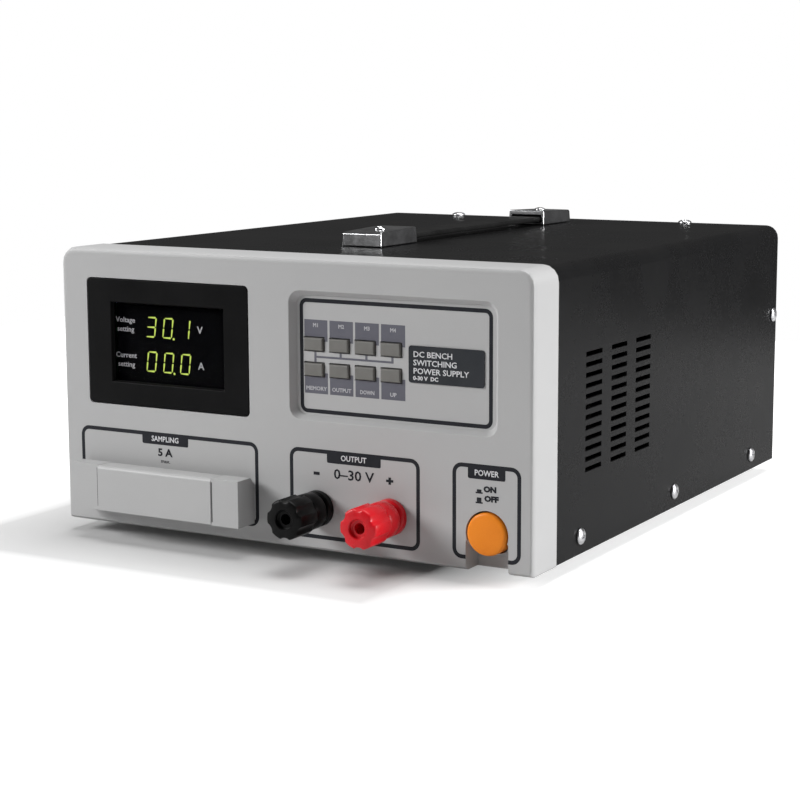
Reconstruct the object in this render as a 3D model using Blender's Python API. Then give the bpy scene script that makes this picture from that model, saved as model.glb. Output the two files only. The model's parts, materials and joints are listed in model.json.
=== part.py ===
"""Bench power supply, one object for each separate piece. Metres, +Z up.

Every piece hangs on the empty "panel_frame": X runs to the right seen from the front, Y runs back
from the face of the bezel, and Z runs up from the bottom edge of the bezel.
"""

import math

import bmesh
import bpy
from mathutils import Matrix, Vector

MM = 0.001

# Clearances
GAP = 0.3 * MM
KEY_GAP = 0.4 * MM
BUTTON_GAP = 0.7 * MM
SCREW_HOLE_GAP = 0.4 * MM
PASS = 1.0 * MM

# Case
CASE_WIDTH = 220.0 * MM
CASE_HEIGHT = 115.6 * MM
CASE_DEPTH = 268.7 * MM
SHEET = 1.2 * MM
COVER_INSET = 0.45 * MM
COVER_BEND = 6.0 * MM
COVER_LIFT = 0.6 * MM
BASE_LIFT = 0.8 * MM
FLANGE_HEIGHT = 14.0 * MM
FRONT_FLANGE_HEIGHT = 6.0 * MM
REAR_FLANGE_DEPTH = 14.0 * MM

# Bezel
BEZEL_DEPTH = 20.3 * MM
BEZEL_WALL = 2.5 * MM
FACE_THICKNESS = 3.0 * MM
BEZEL_TOP_RADIUS = 6.5 * MM
BEZEL_BOTTOM_RADIUS = 1.2 * MM
FACE_ROUNDING = 1.4 * MM

# Feet
FOOT_HEIGHT = 5.0 * MM
FOOT_RADIUS = 8.0 * MM
FOOT_EDGE = 1.0 * MM
FOOT_SCREW_RECESS = 2.6 * MM
FOOT_INSET_X = 18.0 * MM
FOOT_INSET_Y = 35.0 * MM

# Display, placed from the left edge and the bottom of the bezel
DISPLAY_WIDTH = 80.0 * MM
DISPLAY_HEIGHT = 52.0 * MM
DISPLAY_EDGE = 13.7 * MM
DISPLAY_MIDDLE = 77.2 * MM
DISPLAY_DEPTH = 4.2 * MM
DISPLAY_LIP = 2.0 * MM
DISPLAY_RADIUS = 1.8 * MM
WINDOW_WIDTH = 55.0 * MM
WINDOW_HEIGHT = 32.0 * MM
WINDOW_THICKNESS = 1.4 * MM
WINDOW_DEPTH = 2.3 * MM
WINDOW_OVERLAP = 1.2 * MM
WINDOW_SLOPE = 1.0 * MM
DIGIT_ROW_PITCH = 14.4 * MM
DIGIT_MODULE_WIDTH = 30.0 * MM
DIGIT_MODULE_HEIGHT = 12.0 * MM
DIGIT_MODULE_DEPTH = 4.0 * MM
BOARD_THICKNESS = 1.6 * MM

# Keypad, placed from the right edge and level with the display
KEYPAD_WIDTH = 92.0 * MM
KEYPAD_HEIGHT = 51.0 * MM
KEYPAD_EDGE = 15.0 * MM
KEYPAD_MIDDLE = 77.5 * MM
KEYPAD_DEPTH = 3.0 * MM
KEYPAD_FLOOR = 2.0 * MM
KEYPAD_SLOPE = 2.0 * MM
KEYPAD_RADIUS = 5.0 * MM
KEY_COLUMNS = 4
KEY_ROWS = 2
KEY_WIDTH = 8.7 * MM
KEY_HEIGHT = 5.1 * MM
KEY_PITCH_X = 11.6 * MM
KEY_PITCH_Z = 10.0 * MM
KEY_FIRST_COLUMN = 9.9 * MM
KEY_FIRST_ROW = 4.4 * MM
KEY_PROUD = 1.0 * MM
KEY_FLANGE = 0.9 * MM
KEY_EDGE = 0.35 * MM
KEY_STEM_LENGTH = 1.2 * MM
KEY_TRAVEL = 0.5 * MM
KEY_STEM_RADIUS = 1.6 * MM
SWITCH_SIZE = 6.0 * MM
SWITCH_HEIGHT = 1.9 * MM

# Power button
BUTTON_RADIUS = 8.3 * MM
BUTTON_PROUD = 1.0 * MM
BUTTON_DOME = 0.5 * MM
BUTTON_EDGE = 19.4 * MM
BUTTON_LEVEL = 15.0 * MM
BUTTON_DEPTH = 11.0 * MM
BUTTON_STEM = 5.0 * MM
BUTTON_STEM_LENGTH = 9.0 * MM
BUTTON_GUIDE_WALL = 1.8 * MM
BUTTON_GUIDE_DEPTH = 13.0 * MM
BUTTON_PRESS = 1.0 * MM
SCOOP_DEPTH = 10.0 * MM
SCOOP_TOP = 12.0 * MM
SCOOP_SLOPE_END = 4.6 * MM
SWITCH_BODY = (13.0 * MM, 26.0 * MM, 13.0 * MM)

# Binding posts
POST_EDGE = 61.0 * MM
POST_PITCH = 33.0 * MM
POST_LEVEL = 17.4 * MM
POST_REACH = 25.0 * MM
COLLAR_RADIUS = 7.25 * MM
COLLAR_THICKNESS = 3.4 * MM
COLLAR_NECK_RADIUS = 5.0 * MM
COLLAR_TAIL = 4.0 * MM
COLLAR_EDGE = 0.5 * MM
STUD_RADIUS = 3.0 * MM
STUD_TAIL = 18.0 * MM
SOCKET_RADIUS = 2.05 * MM
SOCKET_DEPTH = 17.0 * MM
WASHER_RADIUS = 5.4 * MM
WASHER_THICKNESS = 0.8 * MM
CAP_SHOULDER_RADIUS = 7.25 * MM
CAP_SHOULDER_LENGTH = 6.6 * MM
CAP_LOBE_MEAN = 7.45 * MM
CAP_LOBE_WAVE = 0.45 * MM
CAP_RECESS_RADIUS = 3.65 * MM
CAP_RECESS_DEPTH = 1.6 * MM
CAP_END_WALL = 1.2 * MM
CAP_PLUG_RADIUS = 2.2 * MM
CAP_THREAD_GAP = 0.2 * MM
CAP_EDGE = 0.8 * MM
NUT_FLATS = 9.0 * MM
NUT_HEIGHT = 3.0 * MM

# Sampling terminal, placed from the left edge
SAMPLING_EDGE = 11.2 * MM
SAMPLING_WIDTH = 84.6 * MM
SAMPLING_BOTTOM = 8.0 * MM
SAMPLING_TOP = 27.0 * MM
SAMPLING_REACH = 11.8 * MM
SAMPLING_LEFT_REACH = 9.3 * MM
SAMPLING_LEFT_BLOCK = 14.2 * MM
SAMPLING_RIGHT_BLOCK = 13.0 * MM
SAMPLING_PLATE = 1.2 * MM
SAMPLING_SILL = 1.5 * MM
SAMPLING_CHAMFER = (2.6 * MM, 3.0 * MM)
FLAP_THICKNESS = 1.8 * MM
FLAP_BARREL_RADIUS = 1.8 * MM
FLAP_PIN_RADIUS = 0.9 * MM
FLAP_PIN_LENGTH = 1.6 * MM
FLAP_NOSE = 1.6 * MM
TERMINAL_MARGIN = 3.0 * MM
TERMINAL_HEIGHT = 12.4 * MM
TERMINAL_PROUD = 6.2 * MM
TERMINAL_TAIL = 12.0 * MM
LEVER_WIDTH = 13.0 * MM
LEVER_HEIGHT = 6.4 * MM
LEVER_THICKNESS = 1.8 * MM
LEVER_RECESS = 3.6 * MM
LEVER_SPACING = 24.0 * MM
WIRE_HOLE_RADIUS = 1.9 * MM
WIRE_HOLE_DEPTH = 8.0 * MM

# Handle
STRAP_WIDTH = 15.0 * MM
STRAP_THICKNESS = 2.2 * MM
STRAP_LEVEL = 1.6 * MM
STRAP_EDGE = 0.6 * MM
STRAP_HIDDEN = 16.0 * MM
GRIP_LENGTH = 44.0 * MM
CAP_WALL = 1.3 * MM
CAP_SIDE_ROOM = 0.7 * MM
CAP_WIDTH = STRAP_WIDTH + 2 * (CAP_WALL + CAP_SIDE_ROOM)
CAP_HEIGHT = 6.8 * MM
CAP_LENGTH = 30.8 * MM
CAP_NOSE_WALL = 3.9 * MM
CAP_NOSE_HEIGHT = 5.9 * MM
CAP_NOSE_RADIUS = 1.2 * MM
HANDLE_FRONT = 60.2 * MM
HANDLE_SPAN = 185.4 * MM

# Cover screws
SCREW_HEAD_RADIUS = 3.3 * MM
SCREW_HEAD_HEIGHT = 1.8 * MM
SCREW_SHANK_RADIUS = 1.5 * MM
SCREW_LENGTH = 6.0 * MM
SIDE_SCREW_LEVEL = 7.8 * MM
SIDE_SCREW_FIRST = 42.4 * MM
SIDE_SCREW_PITCH = 97.1 * MM
SIDE_SCREW_COUNT = 3
BACK_SCREW_INSET = 5.3 * MM
BACK_SCREW_LEVEL = 72.4 * MM
TOP_SCREW_OFFSET = 63.3 * MM

# Vents
VENT_COLUMNS = 3
VENT_ROWS = 12
VENT_LENGTH = 15.3 * MM
VENT_HEIGHT = 1.9 * MM
VENT_FIRST = 46.5 * MM
VENT_PITCH_Y = 24.5 * MM
VENT_BOTTOM = 33.3 * MM
VENT_PITCH_Z = 4.14 * MM

# Rear
REAR_PROUD = 2.5 * MM
FAN_SIZE = 80.0 * MM
FAN_DEPTH = 25.0 * MM
FAN_BORE = 76.0 * MM
FAN_OFFSET = -55.0 * MM
FAN_LEVEL = 57.5 * MM
FAN_HUB_RADIUS = 15.0 * MM
FAN_MOUNT_THICKNESS = 3.0 * MM
FAN_ARM_WIDTH = 5.0 * MM
FAN_SPINDLE_RADIUS = 1.6 * MM
FAN_SPINDLE_LENGTH = 12.0 * MM
FAN_CORNER = 4.0 * MM
FAN_HUB_STEP = 2.0 * MM
FAN_BLADES = 7
FAN_BLADE_PITCH = math.radians(38.0)
FAN_BLADE_TWIST = math.radians(14.0)
FAN_BLADE_THICKNESS = 1.8 * MM
FAN_TIP_GAP = 1.5 * MM
FAN_CHORD_SHARE = 0.736
GUARD_WIRE = 2.0 * MM
GUARD_RINGS = 3
GUARD_OVERLAP = 1.5 * MM
GUARD_REACH = 48.8 * MM
INLET_OFFSET = 62.0 * MM
INLET_LEVEL = 36.0 * MM
INLET_FLANGE = (50.0 * MM, 38.0 * MM)
INLET_BODY = (28.0 * MM, 33.0 * MM)
INLET_BODY_DEPTH = 24.0 * MM
INLET_CAVITY = (24.5 * MM, 16.5 * MM)
INLET_CAVITY_DEPTH = 17.0 * MM
INLET_CAVITY_RAISE = 5.2 * MM
INLET_FLANGE_RADIUS = 4.0 * MM
INLET_CAVITY_CORNER = 5.0 * MM
INLET_BLADE = (2.0 * MM, 4.0 * MM)
INLET_BLADE_INSET = 3.0 * MM
INLET_BLADE_SIDE = 7.0 * MM
INLET_BLADE_LEVELS = (4.2 * MM, 8.0 * MM)
FUSE_POCKET = (22.6 * MM, 8.4 * MM)
FUSE_POCKET_DEPTH = 17.0 * MM
FUSE_POCKET_DROP = 10.4 * MM
DRAWER_FRONT = 3.0 * MM

# Inside
MAIN_BOARD_LEVEL = 8.0 * MM
MAIN_BOARD_MARGIN = 8.0 * MM
STANDOFF_RADIUS = 3.0 * MM
HEAT_SINK = (46.0 * MM, 120.0 * MM, 48.0 * MM)
HEAT_SINK_FINS = 7
HEAT_SINK_WALL = 2.0 * MM
HEAT_SINK_OFFSET = -45.0 * MM
TRANSFORMER = (44.0 * MM, 48.0 * MM, 40.0 * MM)
TRANSFORMER_OFFSET = 58.0 * MM
CAPACITOR_RADIUS = 15.0 * MM
CAPACITOR_HEIGHT = 42.0 * MM
CAPACITOR_CRIMP = 1.2 * MM
CAPACITOR_CRIMP_LEVEL = 5.0 * MM

# Derived places
FRONT_Y = -(CASE_DEPTH + REAR_PROUD - POST_REACH) / 2
HALF_WIDTH = CASE_WIDTH / 2
COVER_HALF = HALF_WIDTH - COVER_INSET
COVER_TOP = CASE_HEIGHT - COVER_INSET
COVER_FRONT = BEZEL_DEPTH + GAP
INNER_HALF = COVER_HALF - SHEET - GAP
FLOOR_TOP = BASE_LIFT + SHEET
REAR_FACE = CASE_DEPTH - GAP
REAR_INNER = REAR_FACE - SHEET
REAR_FLANGE_START = REAR_FACE - REAR_FLANGE_DEPTH
DISPLAY_X = -HALF_WIDTH + DISPLAY_EDGE + DISPLAY_WIDTH / 2
KEYPAD_X = HALF_WIDTH - KEYPAD_EDGE - KEYPAD_WIDTH / 2
KEYPAD_LEFT = KEYPAD_X - KEYPAD_WIDTH / 2
BUTTON_X = HALF_WIDTH - BUTTON_EDGE
SAMPLING_LEFT = -HALF_WIDTH + SAMPLING_EDGE
SAMPLING_RIGHT = SAMPLING_LEFT + SAMPLING_WIDTH
BAY_LEFT = SAMPLING_LEFT + SAMPLING_LEFT_BLOCK
BAY_RIGHT = SAMPLING_RIGHT - SAMPLING_RIGHT_BLOCK
BAY_X = (BAY_LEFT + BAY_RIGHT) / 2
PLATE_FRONT = -GAP - SAMPLING_PLATE
HINGE_Y = PLATE_FRONT - GAP - FLAP_BARREL_RADIUS
HINGE_Z = SAMPLING_TOP - FLAP_BARREL_RADIUS
TERMINAL_WIDTH = BAY_RIGHT - BAY_LEFT - 2 * TERMINAL_MARGIN
TERMINAL_LEVEL = (SAMPLING_BOTTOM + SAMPLING_SILL + HINGE_Z - FLAP_BARREL_RADIUS) / 2
SWITCH_FRONT = BUTTON_DEPTH + BUTTON_STEM_LENGTH + BUTTON_PRESS + GAP
SWITCH_BACK = SWITCH_FRONT + SWITCH_BODY[1]
HANDLE_BACK = HANDLE_FRONT + HANDLE_SPAN
HANDLE_MIDDLE = (HANDLE_FRONT + HANDLE_BACK) / 2
CAP_BASE = COVER_TOP + GAP

FINISHES = {
    "bezel_paint": ((0.42, 0.42, 0.42), 0.42, 0.0),
    "cover_paint": ((0.035, 0.035, 0.036), 0.38, 0.0),
    "zinc_steel": ((0.55, 0.56, 0.57), 0.38, 1.0),
    "foot_rubber": ((0.02, 0.02, 0.02), 0.85, 0.0),
    "handle_chrome": ((0.75, 0.76, 0.78), 0.12, 1.0),
    "strap_vinyl": ((0.018, 0.018, 0.018), 0.55, 0.0),
    "screw_nickel": ((0.66, 0.66, 0.67), 0.25, 1.0),
    "display_black": ((0.014, 0.014, 0.015), 0.4, 0.0),
    "window_smoke": ((0.02, 0.02, 0.025), 0.08, 0.0),
    "circuit_board": ((0.02, 0.13, 0.05), 0.5, 0.0),
    "key_grey": ((0.19, 0.185, 0.17), 0.5, 0.0),
    "button_orange": ((0.78, 0.26, 0.03), 0.42, 0.0),
    "moulded_black": ((0.016, 0.016, 0.017), 0.45, 0.0),
    "post_black": ((0.008, 0.008, 0.008), 0.42, 0.0),
    "post_red": ((0.58, 0.01, 0.02), 0.36, 0.0),
    "plated_brass": ((0.7, 0.62, 0.45), 0.3, 1.0),
    "lever_red": ((0.55, 0.02, 0.02), 0.45, 0.0),
    "heat_sink_metal": ((0.5, 0.51, 0.53), 0.45, 1.0),
    "transformer_core": ((0.09, 0.085, 0.08), 0.6, 0.0),
    "capacitor_sleeve": ((0.02, 0.03, 0.08), 0.4, 0.0),
}


def clear_scene():
    for leftover in list(bpy.data.objects):
        bpy.data.objects.remove(leftover, do_unlink=True)


def material(name):
    """The shared Principled finish of that name, made the first time it is asked for."""
    if name in bpy.data.materials:
        return bpy.data.materials[name]
    colour, roughness, metallic = FINISHES[name]
    finish = bpy.data.materials.new(name)
    finish.use_nodes = True
    shader = finish.node_tree.nodes["Principled BSDF"]
    shader.inputs["Base Color"].default_value = (*colour, 1.0)
    shader.inputs["Roughness"].default_value = roughness
    shader.inputs["Metallic"].default_value = metallic
    finish.diffuse_color = (*colour, 1.0)
    return finish


def place(name, mesh, finish, at=(0.0, 0.0, 0.0), turn=0.0, smooth=False):
    """An object on the panel frame; turn is about its own vertical."""
    thing = bpy.data.objects.new(name, mesh)
    bpy.context.scene.collection.objects.link(thing)
    thing.parent = bpy.data.objects["panel_frame"]
    thing.location = at
    thing.rotation_euler = (0.0, 0.0, turn)
    if finish is not None and not mesh.materials:
        mesh.materials.append(material(finish))
    if smooth:
        mesh.shade_smooth()
        mesh.set_sharp_from_angle(angle=math.radians(32.0))
    return thing


def finish_mesh(name, bm):
    bmesh.ops.recalc_face_normals(bm, faces=bm.faces)
    mesh = bpy.data.meshes.new(name)
    bm.to_mesh(mesh)
    bm.free()
    return mesh


def loft_mesh(name, sections, ring=False):
    """A solid through sections that have the same number of points; a ring closes on its first section."""
    bm = bmesh.new()
    loops = [[bm.verts.new(point) for point in section] for section in sections]
    pairs = list(zip(loops, loops[1:]))
    if ring:
        pairs.append((loops[-1], loops[0]))
    for lower, upper in pairs:
        for i in range(len(lower)):
            j = (i + 1) % len(lower)
            bm.faces.new((lower[i], lower[j], upper[j], upper[i]))
    if not ring:
        bm.faces.new(loops[0])
        bm.faces.new(loops[-1])
    return finish_mesh(name, bm)


def along_y(outline, y):
    return [(u, y, v) for u, v in outline]


def along_x(outline, x):
    return [(x, u, v) for u, v in outline]


def along_z(outline, z):
    return [(u, v, z) for u, v in outline]


def prism(name, outline, start, end, way=along_y):
    """An outline pushed from start to end: along_y takes (x, z) points, along_x (y, z), along_z (x, y)."""
    return loft_mesh(name, [way(outline, start), way(outline, end)])


def arc(centre, radius, first, last, steps):
    """Points on an arc, its angles in degrees."""
    points = []
    for i in range(steps + 1):
        angle = math.radians(first + (last - first) * i / steps)
        points.append((centre[0] + radius * math.cos(angle), centre[1] + radius * math.sin(angle)))
    return points


def rectangle(low, high):
    return [(low[0], low[1]), (high[0], low[1]), (high[0], high[1]), (low[0], high[1])]


def rounded(low, high, bottom_radius, top_radius, steps=4):
    """A rectangle with its two bottom and its two top corners rounded."""
    b, t = bottom_radius, top_radius
    return (
        arc((low[0] + b, low[1] + b), b, 180.0, 270.0, steps)
        + arc((high[0] - b, low[1] + b), b, 270.0, 360.0, steps)
        + arc((high[0] - t, high[1] - t), t, 0.0, 90.0, steps)
        + arc((low[0] + t, high[1] - t), t, 90.0, 180.0, steps)
    )


def around(centre, width, height):
    """The low and high corners of a rectangle about its centre."""
    low = (centre[0] - width / 2, centre[1] - height / 2)
    high = (centre[0] + width / 2, centre[1] + height / 2)
    return low, high


def boxes_mesh(name, boxes):
    """One mesh of boxes, each given by its low and high corners."""
    bm = bmesh.new()
    for low, high in boxes:
        size = Vector(high) - Vector(low)
        middle = (Vector(high) + Vector(low)) / 2
        matrix = Matrix.Translation(middle) @ Matrix.Diagonal((*size, 1.0))
        bmesh.ops.create_cube(bm, size=1.0, matrix=matrix)
    return finish_mesh(name, bm)


def rods_mesh(name, rods, axis, steps=16):
    """One mesh of rods along an axis, each given by its middle, radius and length."""
    turns = {"X": Matrix.Rotation(math.pi / 2, 4, "Y"), "Y": Matrix.Rotation(math.pi / 2, 4, "X")}
    bm = bmesh.new()
    for middle, radius, length in rods:
        matrix = Matrix.Translation(middle) @ turns.get(axis, Matrix.Identity(4))
        bmesh.ops.create_cone(
            bm, cap_ends=True, segments=steps, radius1=radius, radius2=radius, depth=length, matrix=matrix
        )
    return finish_mesh(name, bm)


def turned_mesh(name, profile, steps=20, ring=False):
    """A profile of (radius, y) points spun about the Y axis; a ring's profile closes on itself."""
    bm = bmesh.new()
    verts = [bm.verts.new((radius, y, 0.0)) for radius, y in profile]
    edges = [bm.edges.new(pair) for pair in zip(verts, verts[1:])]
    if ring:
        edges.append(bm.edges.new((verts[-1], verts[0])))
    turn = {"cent": (0, 0, 0), "axis": (0, 1, 0), "angle": 2 * math.pi, "steps": steps}
    bmesh.ops.spin(bm, geom=verts + edges, use_merge=True, **turn)
    bmesh.ops.remove_doubles(bm, verts=bm.verts, dist=0.00001)
    return finish_mesh(name, bm)


def combine(target, mesh, operation, at=(0.0, 0.0, 0.0)):
    """Cuts a mesh out of the target, or joins it on, with a Boolean modifier."""
    tool = place("tool_" + mesh.name, mesh, None, at)
    tool.hide_render = True
    tool.display_type = "WIRE"
    step = target.modifiers.new(mesh.name, "BOOLEAN")
    step.operation = operation
    step.solver = "EXACT"
    step.object = tool


def cut(target, mesh, at=(0.0, 0.0, 0.0)):
    combine(target, mesh, "DIFFERENCE", at)


def join(target, mesh, at=(0.0, 0.0, 0.0)):
    combine(target, mesh, "UNION", at)


def post_places():
    """The black and the red post's name and place on the bezel."""
    right = HALF_WIDTH - POST_EDGE
    return {"black": (right - POST_PITCH, 0.0, POST_LEVEL), "red": (right, 0.0, POST_LEVEL)}


def key_places():
    """Each key's name and the middle of its face on the keypad floor."""
    places = {}
    for row in range(KEY_ROWS):
        for column in range(KEY_COLUMNS):
            x = KEYPAD_LEFT + KEY_FIRST_COLUMN + column * KEY_PITCH_X
            z = KEYPAD_MIDDLE + KEY_FIRST_ROW - row * KEY_PITCH_Z
            places[f"key_{'upper' if row == 0 else 'lower'}_{column + 1}"] = (x, KEYPAD_DEPTH, z)
    return places


def side_screw_rows():
    """The low side screws' distances from the face, and the high back screw's place, as (y, z)."""
    low = [(SIDE_SCREW_FIRST + i * SIDE_SCREW_PITCH, SIDE_SCREW_LEVEL) for i in range(SIDE_SCREW_COUNT)]
    span = low[-1][0] - low[0][0]
    room = REAR_FLANGE_START - 2 * SCREW_HEAD_RADIUS - low[0][0]
    if span > room:
        step = room / (SIDE_SCREW_COUNT - 1)
        low = [(low[0][0] + step * i, SIDE_SCREW_LEVEL) for i in range(SIDE_SCREW_COUNT)]
    return low, (CASE_DEPTH - BACK_SCREW_INSET, BACK_SCREW_LEVEL)


def make_bezel():
    low, high = (-HALF_WIDTH, 0.0), (HALF_WIDTH, CASE_HEIGHT)

    def outline(inset):
        a = (low[0] + inset, low[1] + inset)
        b = (high[0] - inset, high[1] - inset)
        bottom = max(BEZEL_BOTTOM_RADIUS - inset, 0.3 * MM)
        return rounded(a, b, bottom, max(BEZEL_TOP_RADIUS - inset, 1.0 * MM))

    sections = [
        along_y(outline(FACE_ROUNDING), 0.0),
        along_y(outline(FACE_ROUNDING * 0.3), FACE_ROUNDING * 0.3),
        along_y(outline(0.0), FACE_ROUNDING),
        along_y(outline(0.0), BEZEL_DEPTH),
    ]
    bezel = place("front_bezel", loft_mesh("front_bezel", sections), "bezel_paint")
    cavity = outline(BEZEL_WALL)
    cut(bezel, prism("bezel_cavity", cavity, FACE_THICKNESS, BEZEL_DEPTH + PASS))

    wall = KEYPAD_FLOOR
    tub_low, tub_high = around((KEYPAD_X, KEYPAD_MIDDLE), KEYPAD_WIDTH + 2 * wall, KEYPAD_HEIGHT + 2 * wall)
    tub = rounded(tub_low, tub_high, KEYPAD_RADIUS, KEYPAD_RADIUS)
    join(bezel, prism("keypad_tub", tub, FACE_THICKNESS / 2, KEYPAD_DEPTH + KEYPAD_FLOOR))
    guide = BUTTON_RADIUS + BUTTON_GAP + BUTTON_GUIDE_WALL
    block_low, block_high = (BUTTON_X - guide, BEZEL_WALL / 2), (BUTTON_X + guide, BUTTON_LEVEL + guide)
    block = rectangle(block_low, block_high)
    join(bezel, prism("button_guide", block, FACE_THICKNESS / 2, BUTTON_GUIDE_DEPTH))

    pocket = []
    for y, grow in ((-PASS, 0.6), (0.0, 0.0), (KEYPAD_DEPTH * 0.6, -0.7), (KEYPAD_DEPTH, -1.0)):
        width = KEYPAD_WIDTH + 2 * grow * KEYPAD_SLOPE
        height = KEYPAD_HEIGHT + 2 * grow * KEYPAD_SLOPE
        radius = KEYPAD_RADIUS + grow * KEYPAD_SLOPE / 2
        pocket.append(along_y(rounded(*around((KEYPAD_X, KEYPAD_MIDDLE), width, height), radius, radius), y))
    cut(bezel, loft_mesh("keypad_pocket", pocket))

    through = FACE_THICKNESS + KEYPAD_FLOOR + PASS
    holes = []
    for x, y, z in key_places().values():
        across, up = KEY_WIDTH / 2 + KEY_GAP, KEY_HEIGHT / 2 + KEY_GAP
        holes.append(((x - across, 0.0, z - up), (x + across, through, z + up)))
    across, up = TERMINAL_WIDTH / 2 + GAP, TERMINAL_HEIGHT / 2 + GAP
    low_corner = (BAY_X - across, -PASS, TERMINAL_LEVEL - up)
    holes.append((low_corner, (BAY_X + across, through, TERMINAL_LEVEL + up)))
    cut(bezel, boxes_mesh("bezel_windows", holes))
    corners = around((DISPLAY_X, DISPLAY_MIDDLE), DISPLAY_WIDTH + 2 * GAP, DISPLAY_HEIGHT + 2 * GAP)
    window = rounded(*corners, DISPLAY_RADIUS + GAP, DISPLAY_RADIUS + GAP)
    cut(bezel, prism("display_cutout", window, -PASS, through))
    rods = [((x, 0.0, z), COLLAR_NECK_RADIUS + GAP, 2 * through) for x, _, z in post_places().values()]
    cut(bezel, rods_mesh("post_holes", rods, "Y"))
    bore = ((BUTTON_X, 0.0, BUTTON_LEVEL), BUTTON_RADIUS + BUTTON_GAP, 2 * (BUTTON_GUIDE_DEPTH + PASS))
    cut(bezel, rods_mesh("button_bore", [bore], "Y", steps=32))
    scoop = [
        (-PASS, SCOOP_TOP),
        (0.0, SCOOP_TOP),
        (SCOOP_DEPTH, SCOOP_SLOPE_END),
        (SCOOP_DEPTH, -PASS),
        (-PASS, -PASS),
    ]
    half = BUTTON_RADIUS + BUTTON_GAP
    cut(bezel, prism("button_scoop", scoop, BUTTON_X - half, BUTTON_X + half, along_x))


def make_cover():
    def path(inset):
        side, top, radius = COVER_HALF - inset, COVER_TOP - inset, COVER_BEND - inset
        corner = (side - radius, top - radius)
        right = [(side, COVER_LIFT)] + arc(corner, radius, 0.0, 90.0, 5)
        return right + [(-x, z) for x, z in reversed(right)]

    outline = path(0.0) + list(reversed(path(SHEET)))
    cover = place("top_cover", prism("top_cover", outline, COVER_FRONT, CASE_DEPTH), "cover_paint")
    slots = []
    for side in (-1, 1):
        for column in range(VENT_COLUMNS):
            y = VENT_FIRST + column * VENT_PITCH_Y
            for row in range(VENT_ROWS):
                z = VENT_BOTTOM + row * VENT_PITCH_Z
                inner, outer = side * (COVER_HALF - 2 * SHEET), side * (COVER_HALF + SHEET)
                low = (min(inner, outer), y, z - VENT_HEIGHT / 2)
                slots.append((low, (max(inner, outer), y + VENT_LENGTH, z + VENT_HEIGHT / 2)))
    cut(cover, boxes_mesh("vent_slots", slots))
    cut(cover, rods_mesh("cover_side_holes", side_hole_rods(), "X", steps=12))
    cut(cover, rods_mesh("cover_top_holes", top_hole_rods(), "Z", steps=12))


def side_hole_rods():
    low, high = side_screw_rows()
    radius = SCREW_SHANK_RADIUS + SCREW_HOLE_GAP
    return [
        ((side * COVER_HALF, y, z), radius, 4 * (SHEET + GAP) + 2 * PASS)
        for side in (-1, 1)
        for y, z in [*low, high]
    ]


def top_hole_rods():
    radius = SCREW_SHANK_RADIUS + SCREW_HOLE_GAP
    y = CASE_DEPTH - BACK_SCREW_INSET
    length = 4 * (SHEET + GAP) + 2 * PASS
    return [((side * TOP_SCREW_OFFSET, y, COVER_TOP), radius, length) for side in (-1, 1)]


def standoff_places():
    x = INNER_HALF - MAIN_BOARD_MARGIN - 2 * STANDOFF_RADIUS
    front, back = SWITCH_BACK + 3 * STANDOFF_RADIUS, REAR_INNER - FAN_DEPTH - 4 * STANDOFF_RADIUS
    return [(side * x, y) for side in (-1, 1) for y in (front, back)]


def make_chassis():
    low, high = (-INNER_HALF, COVER_FRONT, BASE_LIFT), (INNER_HALF, REAR_FACE, BASE_LIFT + FLANGE_HEIGHT)
    chassis = place("chassis_base", boxes_mesh("chassis_base", [(low, high)]), "zinc_steel")
    hollow = (
        (-INNER_HALF + SHEET, COVER_FRONT + SHEET, FLOOR_TOP),
        (INNER_HALF - SHEET, REAR_FACE + PASS, high[2] + PASS),
    )
    cut(chassis, boxes_mesh("chassis_hollow", [hollow]))
    back = (
        (-INNER_HALF - PASS, REAR_FLANGE_START - GAP, FLOOR_TOP),
        (INNER_HALF + PASS, REAR_FACE + PASS, high[2] + PASS),
    )
    front = (
        (-INNER_HALF + SHEET, COVER_FRONT - PASS, BASE_LIFT + FRONT_FLANGE_HEIGHT),
        (INNER_HALF - SHEET, COVER_FRONT + 2 * SHEET, high[2] + PASS),
    )
    cut(chassis, boxes_mesh("chassis_relief", [back, front]))
    height = MAIN_BOARD_LEVEL - GAP - FLOOR_TOP + SHEET / 2
    level = FLOOR_TOP - SHEET / 2 + height / 2
    rods = [((x, y, level), STANDOFF_RADIUS, height) for x, y in standoff_places()]
    join(chassis, rods_mesh("standoffs", rods, "Z", steps=10))
    cut(chassis, rods_mesh("chassis_side_holes", side_hole_rods(), "X", steps=12))


def make_rear_panel():
    low, high = (-INNER_HALF, FLOOR_TOP + GAP), (INNER_HALF, COVER_TOP - SHEET - GAP)
    radius = COVER_BEND - SHEET
    outline = rounded(low, high, 1.0 * MM, radius)
    panel = place("rear_panel", prism("rear_panel", outline, REAR_FLANGE_START, REAR_FACE), "zinc_steel")
    inner = rounded(
        (low[0] + SHEET, low[1] + SHEET), (high[0] - SHEET, high[1] - SHEET), 0.5 * MM, radius - SHEET
    )
    cut(panel, prism("rear_hollow", inner, REAR_FLANGE_START - PASS, REAR_INNER))
    bore = ((FAN_OFFSET, REAR_FACE, FAN_LEVEL), FAN_BORE / 2, 4 * SHEET)
    cut(panel, rods_mesh("fan_opening", [bore], "Y", steps=28))
    width, height = INLET_BODY[0] + 2 * GAP, INLET_BODY[1] + 2 * GAP
    opening = rectangle(*around((INLET_OFFSET, INLET_LEVEL), width, height))
    cut(panel, prism("inlet_opening", opening, REAR_INNER - PASS, REAR_FACE + PASS))
    cut(panel, rods_mesh("rear_side_holes", side_hole_rods(), "X", steps=12))
    cut(panel, rods_mesh("rear_top_holes", top_hole_rods(), "Z", steps=12))


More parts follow.
